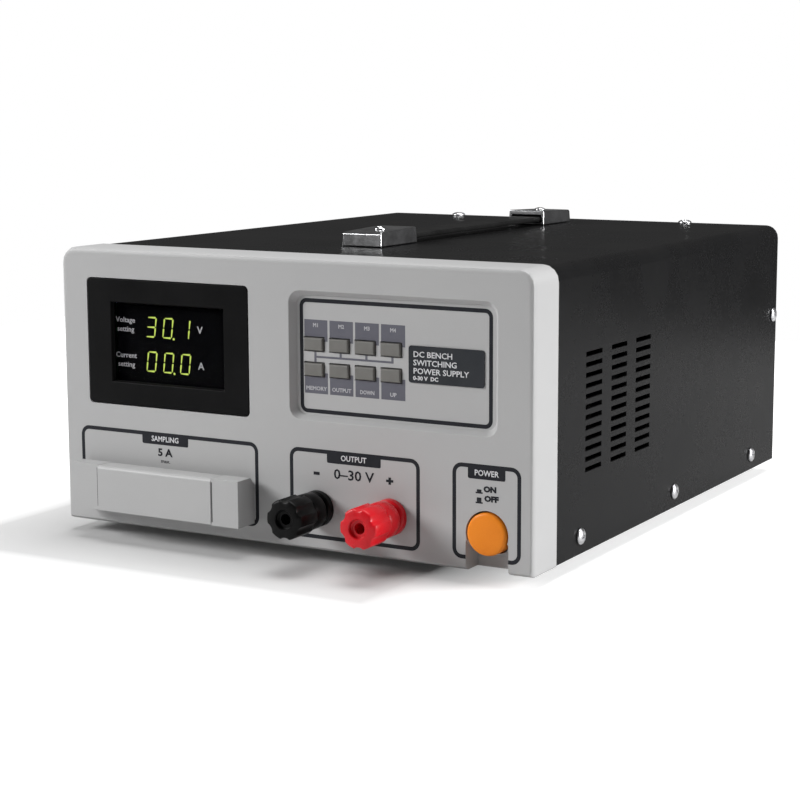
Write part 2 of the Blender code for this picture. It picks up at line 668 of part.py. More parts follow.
def make_feet():
    inset, groove = FOOT_EDGE, FOOT_SCREW_RECESS
    top = FOOT_HEIGHT + BASE_LIFT - GAP
    profile = [
        (0.0, groove),
        (groove, groove),
        (groove, 0.0),
        (FOOT_RADIUS - 2 * inset, 0.0),
        (FOOT_RADIUS - inset, inset),
        (FOOT_RADIUS, top),
        (0.0, top),
    ]
    mesh = turned_mesh("rubber_foot", profile, steps=16)
    mesh.transform(Matrix.Rotation(math.pi / 2, 4, "X"))
    x = HALF_WIDTH - FOOT_INSET_X
    for end, y in (("front", FOOT_INSET_Y), ("rear", CASE_DEPTH - FOOT_INSET_Y)):
        for side, sign in (("left", -1), ("right", 1)):
            place(f"foot_{end}_{side}", mesh, "foot_rubber", (sign * x, y, -FOOT_HEIGHT), smooth=True)


def make_cover_screws():
    head = [(0.0, SCREW_HEAD_HEIGHT), (0.5 * SCREW_HEAD_RADIUS, 0.92 * SCREW_HEAD_HEIGHT)]
    head.append((0.85 * SCREW_HEAD_RADIUS, 0.6 * SCREW_HEAD_HEIGHT))
    head.append((SCREW_HEAD_RADIUS, 0.12 * SCREW_HEAD_HEIGHT))
    head += [(SCREW_HEAD_RADIUS, 0.0), (SCREW_SHANK_RADIUS, 0.0)]
    profile = head + [(SCREW_SHANK_RADIUS, -SCREW_LENGTH), (0.0, -SCREW_LENGTH)]
    upright = turned_mesh("cover_screw_top", profile, steps=10)
    upright.transform(Matrix.Rotation(math.pi / 2, 4, "X"))
    sideways = turned_mesh("cover_screw_side", profile, steps=10)
    sideways.transform(Matrix.Rotation(-math.pi / 2, 4, "Z"))
    low, high = side_screw_rows()
    for side, sign in (("left", -1), ("right", 1)):
        turn = 0.0 if sign > 0 else math.pi
        for i, (y, z) in enumerate(low):
            at = (sign * (COVER_HALF + GAP), y, z)
            place(f"screw_{side}_{i + 1}", sideways, "screw_nickel", at, turn, smooth=True)
        at = (sign * (COVER_HALF + GAP), high[0], high[1])
        place(f"screw_{side}_back", sideways, "screw_nickel", at, turn, smooth=True)
        at = (sign * TOP_SCREW_OFFSET, CASE_DEPTH - BACK_SCREW_INSET, COVER_TOP + GAP)
        place(f"screw_top_{side}", upright, "screw_nickel", at, smooth=True)


def make_handle():
    profile = (
        [(0.0, 0.0)]
        + arc((CAP_NOSE_RADIUS, CAP_NOSE_HEIGHT - CAP_NOSE_RADIUS), CAP_NOSE_RADIUS, 180.0, 90.0, 4)
        + [(CAP_LENGTH, CAP_HEIGHT), (CAP_LENGTH, 0.0)]
    )
    for end, y, turn in (("front", HANDLE_FRONT, 0.0), ("rear", HANDLE_BACK, math.pi)):
        mesh = prism(f"handle_cap_{end}", profile, -CAP_WIDTH / 2, CAP_WIDTH / 2, along_x)
        cap = place(f"handle_cap_{end}", mesh, "handle_chrome", (0.0, y, CAP_BASE), turn)
        low = (-CAP_WIDTH / 2 + CAP_WALL, CAP_NOSE_WALL, STRAP_LEVEL - GAP)
        high = (CAP_WIDTH / 2 - CAP_WALL, CAP_LENGTH + PASS, CAP_NOSE_HEIGHT - CAP_WALL)
        pocket = boxes_mesh(f"handle_pocket_{end}", [(low, high)])
        pocket.transform(Matrix.Rotation(turn, 4, "Z"))
        cut(cap, pocket, (0.0, y, CAP_BASE))

    level = CAP_BASE + STRAP_LEVEL
    grip_front, grip_back = HANDLE_MIDDLE - GRIP_LENGTH / 2, HANDLE_MIDDLE + GRIP_LENGTH / 2
    pieces = {
        "strap_front": (HANDLE_FRONT + CAP_LENGTH - STRAP_HIDDEN, grip_front - GAP),
        "strap_grip": (grip_front, grip_back),
        "strap_rear": (grip_back + GAP, HANDLE_BACK - CAP_LENGTH + STRAP_HIDDEN),
    }
    for name, (start, end) in pieces.items():
        half, thick = STRAP_WIDTH / 2, STRAP_THICKNESS
        edge = STRAP_EDGE
        outline = [(-half, edge), (-half + edge, 0.0), (half - edge, 0.0), (half, edge)]
        outline += [(half, thick - edge), (half - edge, thick), (-half + edge, thick), (-half, thick - edge)]
        place(name, prism(name, outline, 0.0, end - start), "strap_vinyl", (0.0, start, level))


def make_display():
    outer = rounded(*around((0.0, 0.0), DISPLAY_WIDTH, DISPLAY_HEIGHT), DISPLAY_RADIUS, DISPLAY_RADIUS)
    at = (DISPLAY_X, 0.0, DISPLAY_MIDDLE)
    frame = place("display_frame", prism("display_frame", outer, 0.0, DISPLAY_DEPTH), "display_black", at)
    lip = rectangle(*around((0.0, 0.0), DISPLAY_WIDTH + 2 * DISPLAY_LIP, DISPLAY_HEIGHT + 2 * DISPLAY_LIP))
    join(frame, prism("display_lip", lip, FACE_THICKNESS + GAP, DISPLAY_DEPTH), at)
    slope = WINDOW_SLOPE
    opening = [
        along_y(rectangle(*around((0.0, 0.0), WINDOW_WIDTH + 2 * slope, WINDOW_HEIGHT + 2 * slope)), -PASS),
        along_y(rectangle(*around((0.0, 0.0), WINDOW_WIDTH, WINDOW_HEIGHT)), WINDOW_DEPTH),
        along_y(rectangle(*around((0.0, 0.0), WINDOW_WIDTH, WINDOW_HEIGHT)), DISPLAY_DEPTH + PASS),
    ]
    cut(frame, loft_mesh("display_opening", opening), at)
    width, height = WINDOW_WIDTH + 2 * WINDOW_OVERLAP, WINDOW_HEIGHT + 2 * WINDOW_OVERLAP
    seat = rectangle(*around((0.0, 0.0), width + 2 * GAP, height + 2 * GAP))
    cut(frame, prism("window_seat", seat, WINDOW_DEPTH - GAP, DISPLAY_DEPTH + PASS), at)
    pane = rectangle(*around((0.0, 0.0), width, height))
    end = WINDOW_DEPTH + WINDOW_THICKNESS
    place("display_window", prism("display_window", pane, WINDOW_DEPTH, end), "window_smoke", at)

    front = DISPLAY_DEPTH + GAP
    board_front = front + DIGIT_MODULE_DEPTH
    half_width, half_height = DISPLAY_WIDTH / 2 - PASS, DISPLAY_HEIGHT / 2 - PASS
    board_box = (
        (-half_width, board_front, -half_height),
        (half_width, board_front + BOARD_THICKNESS, half_height),
    )
    board = place("display_board", boxes_mesh("display_board", [board_box]), "circuit_board", at)
    modules = []
    for sign in (-1, 1):
        level = sign * DIGIT_ROW_PITCH / 2
        low = (-DIGIT_MODULE_WIDTH / 2, front, level - DIGIT_MODULE_HEIGHT / 2)
        high = (DIGIT_MODULE_WIDTH / 2, board_front + BOARD_THICKNESS / 2, level + DIGIT_MODULE_HEIGHT / 2)
        modules.append((low, high))
    join(board, boxes_mesh("digit_modules", modules), at)


def make_keypad():
    face = -KEY_PROUD
    flange_front = KEYPAD_FLOOR + GAP
    flange_back = flange_front + KEY_FLANGE
    stem_back = flange_back + KEY_STEM_LENGTH

    def section(width, height, y):
        return along_y(rectangle(*around((0.0, 0.0), width, height)), y)

    flange_width, flange_height = KEY_WIDTH + 4 * KEY_GAP, KEY_HEIGHT + 4 * KEY_GAP
    sections = [
        section(KEY_WIDTH - 2 * KEY_EDGE, KEY_HEIGHT - 2 * KEY_EDGE, face),
        section(KEY_WIDTH, KEY_HEIGHT, face + KEY_EDGE),
        section(KEY_WIDTH, KEY_HEIGHT, flange_front),
        section(flange_width, flange_height, flange_front),
        section(flange_width, flange_height, flange_back),
        section(2 * KEY_STEM_RADIUS, 2 * KEY_STEM_RADIUS, flange_back),
        section(2 * KEY_STEM_RADIUS, 2 * KEY_STEM_RADIUS, stem_back),
    ]
    mesh = loft_mesh("memory_key", sections)
    for name, at in key_places().items():
        place(name, mesh, "key_grey", at)

    switch_front = KEYPAD_DEPTH + stem_back + KEY_TRAVEL + GAP
    board_front = switch_front + SWITCH_HEIGHT
    low, high = around((KEYPAD_X, KEYPAD_MIDDLE), KEYPAD_WIDTH - 4 * PASS, KEYPAD_HEIGHT - 4 * PASS)
    box = ((low[0], board_front, low[1]), (high[0], board_front + BOARD_THICKNESS, high[1]))
    board = place("key_board", boxes_mesh("key_board", [box]), "circuit_board")
    half = SWITCH_SIZE / 2
    switches = []
    for x, _, z in key_places().values():
        back = board_front + BOARD_THICKNESS / 2
        switches.append(((x - half, switch_front, z - half), (x + half, back, z + half)))
    join(board, boxes_mesh("key_switches", switches))


def make_power_button():
    dome, face = BUTTON_DOME, -BUTTON_PROUD
    profile = [(0.0, face), (0.6 * BUTTON_RADIUS, face + 0.1 * dome)]
    profile.append((BUTTON_RADIUS - dome, face + 0.5 * dome))
    profile += [(BUTTON_RADIUS, face + 2 * dome), (BUTTON_RADIUS, BUTTON_DEPTH), (0.0, BUTTON_DEPTH)]
    at = (BUTTON_X, 0.0, BUTTON_LEVEL)
    mesh = turned_mesh("power_button", profile, steps=32)
    button = place("power_button", mesh, "button_orange", at, smooth=True)
    half = BUTTON_STEM / 2
    end = BUTTON_DEPTH + BUTTON_STEM_LENGTH
    join(button, boxes_mesh("button_stem", [((-half, BUTTON_DEPTH - PASS, -half), (half, end, half))]), at)
    wide, _, high = SWITCH_BODY
    box = ((-wide / 2, SWITCH_FRONT, -high / 2), (wide / 2, SWITCH_BACK, high / 2))
    place("power_switch_body", boxes_mesh("power_switch_body", [box]), "moulded_black", at)


def make_binding_posts():
    washer_back = -COLLAR_THICKNESS - GAP
    washer_front = washer_back - WASHER_THICKNESS
    cap_back = washer_front - GAP
    shoulder_front = cap_back - CAP_SHOULDER_LENGTH
    neck = COLLAR_NECK_RADIUS
    bore = STUD_RADIUS + GAP
    collar_profile = [(bore, -COLLAR_THICKNESS), (COLLAR_RADIUS - COLLAR_EDGE, -COLLAR_THICKNESS)]
    collar_profile += [(COLLAR_RADIUS, -COLLAR_THICKNESS + COLLAR_EDGE), (COLLAR_RADIUS, -GAP), (neck, -GAP)]
    collar_profile += [(neck, COLLAR_TAIL), (bore, COLLAR_TAIL)]
    recess_floor = -POST_REACH + CAP_RECESS_DEPTH
    bore_end = recess_floor + CAP_END_WALL
    stud_front = bore_end + GAP
    nut_front = COLLAR_TAIL + GAP
    stud_profile = [(0.0, stud_front + SOCKET_DEPTH), (SOCKET_RADIUS, stud_front + SOCKET_DEPTH)]
    stud_profile += [(SOCKET_RADIUS, stud_front), (STUD_RADIUS, stud_front), (STUD_RADIUS, nut_front)]
    stud_profile += [(NUT_FLATS / 2, nut_front), (NUT_FLATS / 2, nut_front + NUT_HEIGHT)]
    stud_profile += [(STUD_RADIUS, nut_front + NUT_HEIGHT), (STUD_RADIUS, STUD_TAIL), (0.0, STUD_TAIL)]
    washer_profile = [(bore, washer_front), (WASHER_RADIUS, washer_front)]
    washer_profile += [(WASHER_RADIUS, washer_back), (bore, washer_back)]

    steps = 24
    thread = STUD_RADIUS + CAP_THREAD_GAP

    def ring(radius, y, wave=0.0):
        points = []
        for i in range(steps):
            angle = 2 * math.pi * i / steps
            r = radius + wave * math.cos(6 * angle)
            points.append((r * math.cos(angle), y, r * math.sin(angle)))
        return points

    nose = CAP_EDGE
    sections = [
        ring(CAP_RECESS_RADIUS, -POST_REACH),
        ring(CAP_LOBE_MEAN - nose, -POST_REACH, CAP_LOBE_WAVE),
        ring(CAP_LOBE_MEAN, -POST_REACH + nose, CAP_LOBE_WAVE),
        ring(CAP_LOBE_MEAN, shoulder_front, CAP_LOBE_WAVE),
        ring(CAP_SHOULDER_RADIUS, shoulder_front + nose),
        ring(CAP_SHOULDER_RADIUS, cap_back - nose),
        ring(CAP_SHOULDER_RADIUS - nose, cap_back),
        ring(thread, cap_back),
        ring(thread, bore_end),
        ring(CAP_PLUG_RADIUS, bore_end),
        ring(CAP_PLUG_RADIUS, recess_floor),
        ring(CAP_RECESS_RADIUS, recess_floor),
    ]
    collar = turned_mesh("post_collar", collar_profile, steps=18, ring=True)
    for colour, at in post_places().items():
        finish = "post_" + colour
        mesh = collar.copy()
        place(f"post_collar_{colour}", mesh, finish, at, smooth=True)
        stud = turned_mesh(f"post_stud_{colour}", stud_profile, steps=14)
        place(f"post_stud_{colour}", stud, "plated_brass", at, smooth=True)
        washer = turned_mesh(f"post_washer_{colour}", washer_profile, steps=16, ring=True)
        place(f"post_washer_{colour}", washer, "plated_brass", at, smooth=True)
        cap = loft_mesh(f"post_cap_{colour}", sections, ring=True)
        place(f"post_cap_{colour}", cap, finish, at, smooth=True)


def make_sampling_terminal():
    bottom, top = SAMPLING_BOTTOM, SAMPLING_TOP
    outline = [
        (SAMPLING_LEFT, -GAP),
        (SAMPLING_LEFT, -SAMPLING_LEFT_REACH),
        (BAY_LEFT, -SAMPLING_LEFT_REACH),
        (BAY_LEFT, -SAMPLING_REACH),
        (SAMPLING_RIGHT, -SAMPLING_REACH),
        (SAMPLING_RIGHT, -GAP),
    ]
    mesh = prism("sampling_housing", outline, bottom, top, along_z)
    housing = place("sampling_housing", mesh, "bezel_paint")
    sill = bottom + SAMPLING_SILL
    skirt_back = -SAMPLING_REACH + FLAP_THICKNESS
    bay = [
        (PLATE_FRONT, sill),
        (PLATE_FRONT, top + PASS),
        (-SAMPLING_REACH - PASS, top + PASS),
        (-SAMPLING_REACH - PASS, bottom - PASS),
        (skirt_back + GAP, bottom - PASS),
        (skirt_back + GAP, sill),
    ]
    cut(housing, prism("sampling_bay", bay, BAY_LEFT, BAY_RIGHT, along_x))
    across, up = TERMINAL_WIDTH / 2 + GAP, TERMINAL_HEIGHT / 2 + GAP
    opening = rectangle((BAY_X - across, TERMINAL_LEVEL - up), (BAY_X + across, TERMINAL_LEVEL + up))
    cut(housing, prism("terminal_opening", opening, PLATE_FRONT - PASS, PASS))
    pin_reach = GAP + FLAP_PIN_LENGTH
    sockets = [
        ((BAY_LEFT, HINGE_Y, HINGE_Z), FLAP_PIN_RADIUS + GAP, 2 * (pin_reach + GAP)),
        ((BAY_RIGHT, HINGE_Y, HINGE_Z), FLAP_PIN_RADIUS + GAP, 2 * (pin_reach + GAP)),
    ]
    cut(housing, rods_mesh("hinge_sockets", sockets, "X", steps=12))
    deep, high = SAMPLING_CHAMFER
    chamfer = [(-GAP - deep, top), (-GAP, top - high), (PASS, top - high), (PASS, top + PASS)]
    chamfer.append((-GAP - deep, top + PASS))
    cut(housing, prism("sampling_chamfer", chamfer, SAMPLING_LEFT - PASS, SAMPLING_RIGHT + PASS, along_x))

    barrel = FLAP_BARREL_RADIUS
    front = -SAMPLING_REACH - HINGE_Y
    nose = FLAP_NOSE
    skin = FLAP_THICKNESS
    flap_outline = (
        arc((0.0, 0.0), barrel, -90.0, 90.0, 8)
        + arc((front + nose, barrel - nose), nose, 90.0, 180.0, 4)
        + [(front, bottom + GAP - HINGE_Z), (front + skin, bottom + GAP - HINGE_Z)]
        + [(front + skin, barrel - skin), (-barrel, barrel - skin)]
    )
    half = (BAY_RIGHT - BAY_LEFT) / 2 - GAP
    at = (BAY_X, HINGE_Y, HINGE_Z)
    mesh = prism("sampling_flap", flap_outline, -half, half, along_x)
    flap = place("sampling_flap", mesh, "bezel_paint", at)
    pin = ((0.0, 0.0, 0.0), FLAP_PIN_RADIUS, 2 * (half + FLAP_PIN_LENGTH))
    join(flap, rods_mesh("flap_pins", [pin], "X", steps=10), at)

    at = (BAY_X, 0.0, TERMINAL_LEVEL)
    half_height = TERMINAL_HEIGHT / 2
    box = (
        (-TERMINAL_WIDTH / 2, -TERMINAL_PROUD, -half_height),
        (TERMINAL_WIDTH / 2, TERMINAL_TAIL, half_height),
    )
    mesh = boxes_mesh("sampling_terminal_block", [box])
    block = place("sampling_terminal_block", mesh, "moulded_black", at)
    lever_bottom = half_height - LEVER_HEIGHT - GAP
    recesses, wire_holes = [], []
    for sign in (-1, 1):
        x = sign * LEVER_SPACING / 2
        low = (x - LEVER_WIDTH / 2 - GAP, -TERMINAL_PROUD - PASS, lever_bottom - LEVER_THICKNESS)
        high = (x + LEVER_WIDTH / 2 + GAP, -TERMINAL_PROUD + LEVER_RECESS, half_height + PASS)
        recesses.append((low, high))
        entry = (x, -TERMINAL_PROUD, -half_height / 2 - PASS)
        wire_holes.append((entry, WIRE_HOLE_RADIUS, 2 * WIRE_HOLE_DEPTH))
    cut(block, boxes_mesh("lever_recesses", recesses), at)
    cut(block, rods_mesh("wire_holes", wire_holes, "Y", steps=12), at)

    thick = LEVER_THICKNESS
    lever = [(-thick / 2, 0.0)] + arc((0.0, 0.0), thick / 2, 180.0, 360.0, 6)
    lever += [(thick / 2, LEVER_HEIGHT - thick), (thick, LEVER_HEIGHT - thick / 2), (-thick, LEVER_HEIGHT)]
    pivot_y = -TERMINAL_PROUD + thick / 2 - PASS
    for sign, colour, finish in ((-1, "black", "moulded_black"), (1, "red", "lever_red")):
        mesh = prism(f"terminal_lever_{colour}", lever[1:], -LEVER_WIDTH / 2, LEVER_WIDTH / 2, along_x)
        pivot = (BAY_X + sign * LEVER_SPACING / 2, pivot_y, TERMINAL_LEVEL + lever_bottom)
        place(f"terminal_lever_{colour}", mesh, finish, pivot)


def make_rear_fittings():
    flange_front, flange_back = REAR_FACE + GAP, CASE_DEPTH + REAR_PROUD
    at = (INLET_OFFSET, 0.0, INLET_LEVEL)
    flange = rounded(*around((0.0, 0.0), *INLET_FLANGE), INLET_FLANGE_RADIUS, INLET_FLANGE_RADIUS, 3)
    mesh = prism("mains_inlet", flange, flange_front, flange_back)
    inlet = place("mains_inlet", mesh, "moulded_black", at)
    body = rectangle(*around((0.0, 0.0), *INLET_BODY))
    join(inlet, prism("inlet_body", body, flange_back - INLET_BODY_DEPTH, flange_back - GAP), at)
    width, height = INLET_CAVITY
    corner = INLET_CAVITY_CORNER
    low, high = around((0.0, INLET_CAVITY_RAISE), width, height)
    cavity = [low, (high[0], low[1]), (high[0], high[1] - corner), (high[0] - corner, high[1])]
    cavity += [(low[0] + corner, high[1]), (low[0], high[1] - corner)]
    floor = flange_back - INLET_CAVITY_DEPTH
    cut(inlet, prism("inlet_cavity", cavity, floor, flange_back + PASS), at)
    pocket = rectangle(*around((0.0, -FUSE_POCKET_DROP), *FUSE_POCKET))
    cut(inlet, prism("fuse_pocket", pocket, flange_back - FUSE_POCKET_DEPTH, flange_back + PASS), at)
    blades = []
    half_wide, half_high = INLET_BLADE[0] / 2, INLET_BLADE[1] / 2
    sides, middle = INLET_BLADE_LEVELS
    for x, z in ((-INLET_BLADE_SIDE, sides), (INLET_BLADE_SIDE, sides), (0.0, middle)):
        tip = flange_back - INLET_BLADE_INSET
        blades.append(((x - half_wide, floor - PASS, z - half_high), (x + half_wide, tip, z + half_high)))
    join(inlet, boxes_mesh("inlet_blades", blades), at)
    width, height = FUSE_POCKET[0] - 2 * GAP, FUSE_POCKET[1] - 2 * GAP
    start = -FUSE_POCKET_DEPTH + GAP
    box = ((-width / 2, start, -height / 2), (width / 2, 0.0, height / 2))
    seat = (INLET_OFFSET, flange_back, INLET_LEVEL - FUSE_POCKET_DROP)
    drawer = place("fuse_drawer", boxes_mesh("fuse_drawer", [box]), "moulded_black", seat)
    low = (-width / 2 + PASS, start + PASS, -height / 2 + PASS)
    tray = (low, (width / 2 - PASS, -DRAWER_FRONT, height / 2 + PASS))
    cut(drawer, boxes_mesh("fuse_tray", [tray]), seat)

    fan_back = REAR_INNER - GAP
    fan_front = fan_back - FAN_DEPTH
    at = (FAN_OFFSET, 0.0, FAN_LEVEL)
    square = rounded(*around((0.0, 0.0), FAN_SIZE, FAN_SIZE), FAN_CORNER, FAN_CORNER, 3)
    frame = place("fan_frame", prism("fan_frame", square, fan_front, fan_back), "moulded_black", at)
    middle = (0.0, (fan_front + fan_back) / 2, 0.0)
    cut(frame, rods_mesh("fan_bore", [(middle, FAN_BORE / 2, FAN_DEPTH + 2 * PASS)], "Y", steps=28), at)
    arm, thick = FAN_ARM_WIDTH / 2, FAN_MOUNT_THICKNESS
    reach = FAN_BORE / 2 + PASS
    cross = [(arm, arm), (arm, reach), (-arm, reach), (-arm, arm), (-reach, arm), (-reach, -arm)]
    cross += [(-arm, -arm), (-arm, -reach), (arm, -reach), (arm, -arm), (reach, -arm), (reach, arm)]
    join(frame, prism("fan_arms", cross, fan_front, fan_front + thick), at)
    mount = ((0.0, fan_front + thick / 2, 0.0), FAN_HUB_RADIUS, thick)
    join(frame, rods_mesh("fan_mount", [mount], "Y", steps=24), at)
    spindle_end = fan_front + thick + FAN_SPINDLE_LENGTH
    spindle_start = fan_front + thick / 2
    spindle_middle = (0.0, (spindle_start + spindle_end) / 2, 0.0)
    spindle = (spindle_middle, FAN_SPINDLE_RADIUS, spindle_end - spindle_start)
    join(frame, rods_mesh("fan_spindle", [spindle], "Y", steps=12), at)

    hub_front, hub_back = fan_front + thick + GAP, fan_back - FAN_HUB_STEP
    bore = FAN_SPINDLE_RADIUS + GAP
    hub = [(0.0, spindle_end + GAP), (bore, spindle_end + GAP), (bore, hub_front)]
    hub += [(FAN_HUB_RADIUS, hub_front)]
    hub += [(FAN_HUB_RADIUS, hub_back - PASS), (FAN_HUB_RADIUS - PASS, hub_back), (0.0, hub_back)]
    rotor = place("fan_rotor", turned_mesh("fan_rotor", hub, steps=24), "moulded_black", at, smooth=True)
    middle_y = (hub_front + hub_back) / 2
    chord = (hub_back - hub_front - PASS) / math.cos(FAN_BLADE_PITCH) / 2
    root, tip = FAN_HUB_RADIUS - PASS, FAN_BORE / 2 - FAN_TIP_GAP
    for i in range(FAN_BLADES):
        blade = []
        for radius, lean in ((root, 0.5), (tip, 1.0)):
            pitch = FAN_BLADE_PITCH + lean * FAN_BLADE_TWIST
            half_chord = FAN_CHORD_SHARE * chord * math.cos(FAN_BLADE_PITCH) / math.cos(pitch)
            along = Vector((math.sin(pitch), math.cos(pitch), 0.0)) * half_chord
            across = Vector((math.cos(pitch), -math.sin(pitch), 0.0)) * FAN_BLADE_THICKNESS / 2
            corners = [-along - across, along - across, along + across, -along + across]
            blade.append([(c.x, middle_y + c.y, radius) for c in corners])
        mesh = loft_mesh(f"fan_blade_{i + 1}", blade)
        mesh.transform(Matrix.Rotation(2 * math.pi * i / FAN_BLADES, 4, "Y"))
        join(rotor, mesh, at)

    guard_front, guard_back = REAR_FACE + GAP, CASE_DEPTH + REAR_PROUD
    outer = FAN_BORE / 2 + GUARD_OVERLAP
    ring = [(outer - GUARD_WIRE, guard_front), (outer, guard_front), (outer, guard_back)]
    ring += [(outer - GUARD_WIRE, guard_back)]
    guard = place("fan_guard", turned_mesh("fan_guard", ring, steps=24, ring=True), "handle_chrome", at)
    for i in range(1, GUARD_RINGS):
        r = outer * i / GUARD_RINGS
        loop = [(r - GUARD_WIRE, guard_front), (r, guard_front), (r, guard_back)]
        loop.append((r - GUARD_WIRE, guard_back))
        join(guard, turned_mesh(f"guard_ring_{i}", loop, steps=20, ring=True), at)
    arm, reach = GUARD_WIRE / 2, GUARD_REACH
    cross = [(arm, arm), (arm, reach), (-arm, reach), (-arm, arm), (-reach, arm), (-reach, -arm)]
    cross += [(-arm, -arm), (-arm, -reach), (arm, -reach), (arm, -arm), (reach, -arm), (reach, arm)]
    spokes = prism("guard_spokes", cross, guard_front, (guard_front + guard_back) / 2)
    spokes.transform(Matrix.Rotation(math.pi / 4, 4, "Y"))
    join(guard, spokes, at)


def make_inside():
    places = standoff_places()
    x = max(px for px, _ in places) + 2 * STANDOFF_RADIUS
    front = min(py for _, py in places) - 2 * STANDOFF_RADIUS
    back = max(py for _, py in places) + STANDOFF_RADIUS
    level = MAIN_BOARD_LEVEL
    box = ((-x, front, level), (x, back, level + BOARD_THICKNESS))
    place("main_board", boxes_mesh("main_board", [box]), "circuit_board")
    base = level + BOARD_THICKNESS + GAP
    middle = (front + back) / 2

    width, length, height = HEAT_SINK
    wall = HEAT_SINK_WALL
    gap = (width - HEAT_SINK_FINS * wall) / (HEAT_SINK_FINS - 1)
    fins = [(0.0, 0.0), (width, 0.0)]
    for i in range(HEAT_SINK_FINS):
        right = width - i * (wall + gap)
        fins += [(right, height), (right - wall, height)]
        if i < HEAT_SINK_FINS - 1:
            fins += [(right - wall, 2 * wall), (right - wall - gap, 2 * wall)]
    at = (HEAT_SINK_OFFSET - width / 2, middle - length / 2, base)
    place("heat_sink", prism("heat_sink", fins, 0.0, length), "heat_sink_metal", at)

    wide, deep, high = TRANSFORMER
    at = (TRANSFORMER_OFFSET, middle - deep, base)
    core = ((-wide / 2, -deep / 2, 0.0), (wide / 2, deep / 2, high))
    transformer = place("transformer", boxes_mesh("transformer", [core]), "transformer_core", at)
    side = 0.2 * deep
    for sign in (-1, 1):
        y = sign * (deep / 2)
        low = (-wide * 0.3, min(y, y + sign * side) - PASS, high * 0.15)
        high_corner = (wide * 0.3, max(y, y + sign * side) + PASS, high * 0.85)
        join(transformer, boxes_mesh(f"winding_{sign + 1}", [(low, high_corner)]), at)

    r, tall = CAPACITOR_RADIUS, CAPACITOR_HEIGHT
    crimp = CAPACITOR_CRIMP_LEVEL
    can = [(0.0, 0.0), (r, 0.0), (r, crimp - PASS), (r - CAPACITOR_CRIMP, crimp), (r, crimp + PASS)]
    can += [(r, tall - PASS), (r - PASS, tall), (0.0, tall)]
    mesh = turned_mesh("main_capacitor", [(radius, -y) for radius, y in can], steps=20)
    mesh.transform(Matrix.Rotation(-math.pi / 2, 4, "X"))
    at = (TRANSFORMER_OFFSET, middle + deep, base)
    place("main_capacitor", mesh, "capacitor_sleeve", at, smooth=True)


def build():
    clear_scene()
    frame = bpy.data.objects.new("panel_frame", None)
    bpy.context.scene.collection.objects.link(frame)
    frame.location = (0.0, FRONT_Y, FOOT_HEIGHT)
    make_bezel()
    make_cover()
    make_chassis()
    make_rear_panel()
    make_feet()
    make_cover_screws()
    make_handle()
    make_display()
    make_keypad()
    make_power_button()
    make_binding_posts()
    make_sampling_terminal()
    make_rear_fittings()
    make_inside()


build()
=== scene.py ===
import json
import math

import bmesh
import bpy
from mathutils import Matrix, Vector


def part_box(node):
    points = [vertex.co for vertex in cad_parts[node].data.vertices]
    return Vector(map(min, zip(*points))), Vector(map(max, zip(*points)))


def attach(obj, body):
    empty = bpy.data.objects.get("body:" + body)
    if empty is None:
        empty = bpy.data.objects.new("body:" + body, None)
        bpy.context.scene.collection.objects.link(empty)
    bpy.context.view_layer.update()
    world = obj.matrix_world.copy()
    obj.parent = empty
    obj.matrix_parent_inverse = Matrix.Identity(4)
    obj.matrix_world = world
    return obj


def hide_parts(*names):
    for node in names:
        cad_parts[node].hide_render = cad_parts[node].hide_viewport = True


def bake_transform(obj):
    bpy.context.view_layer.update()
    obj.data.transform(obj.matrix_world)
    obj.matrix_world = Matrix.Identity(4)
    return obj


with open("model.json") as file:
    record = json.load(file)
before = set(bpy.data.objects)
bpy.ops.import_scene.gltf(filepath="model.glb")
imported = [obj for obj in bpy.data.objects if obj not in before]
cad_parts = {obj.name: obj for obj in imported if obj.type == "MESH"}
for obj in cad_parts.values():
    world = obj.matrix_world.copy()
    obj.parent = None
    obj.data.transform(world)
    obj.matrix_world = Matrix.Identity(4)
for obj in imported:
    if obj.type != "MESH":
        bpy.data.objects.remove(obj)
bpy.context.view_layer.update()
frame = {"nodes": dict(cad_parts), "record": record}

# ---------------------------------------------------------------------------------------------
# Camera, floor and lights. A long lens looks at the right front corner from a little above. The
# supply stands on a white sheet whose glow fades close to the case: a painted shade under it. A
# soft light stands on each side, and a wide sun shines down from in front and above.
# ---------------------------------------------------------------------------------------------
MM = 0.001

bezel_low, bezel_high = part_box("front_bezel")
FACE_Y = bezel_low.y
BASE_Z = bezel_low.z


def at_face(x, y, z):
    """A point given from the middle of the bezel's bottom edge, in millimetres: right, back and up."""
    return Vector((x * MM, FACE_Y + y * MM, BASE_Z + z * MM))


def link(piece):
    bpy.context.scene.collection.objects.link(piece)
    return piece


def mesh_piece(name, bm):
    """Turns a bmesh into a mesh object in the scene, and frees it."""
    mesh = bpy.data.meshes.new(name)
    bm.to_mesh(mesh)
    bm.free()
    return link(bpy.data.objects.new(name, mesh))


def add(tree, kind, inputs, **settings):
    """Adds a shader node; each of its inputs is given a value, or the socket that feeds it."""
    node = tree.nodes.new("ShaderNode" + kind)
    for name, value in settings.items():
        setattr(node, name, value)
    for name, value in inputs.items():
        if isinstance(value, bpy.types.NodeSocket):
            tree.links.new(value, node.inputs[name])
        else:
            node.inputs[name].default_value = value
    return node


def plain_material(name, **sockets):
    """A material with set values on its shader, whose sockets are named with _ for a space."""
    made = bpy.data.materials.new(name)
    made.use_nodes = True
    shader = made.node_tree.nodes["Principled BSDF"]
    for socket, value in sockets.items():
        shader.inputs[socket.replace("_", " ")].default_value = value
    return made, made.node_tree, shader


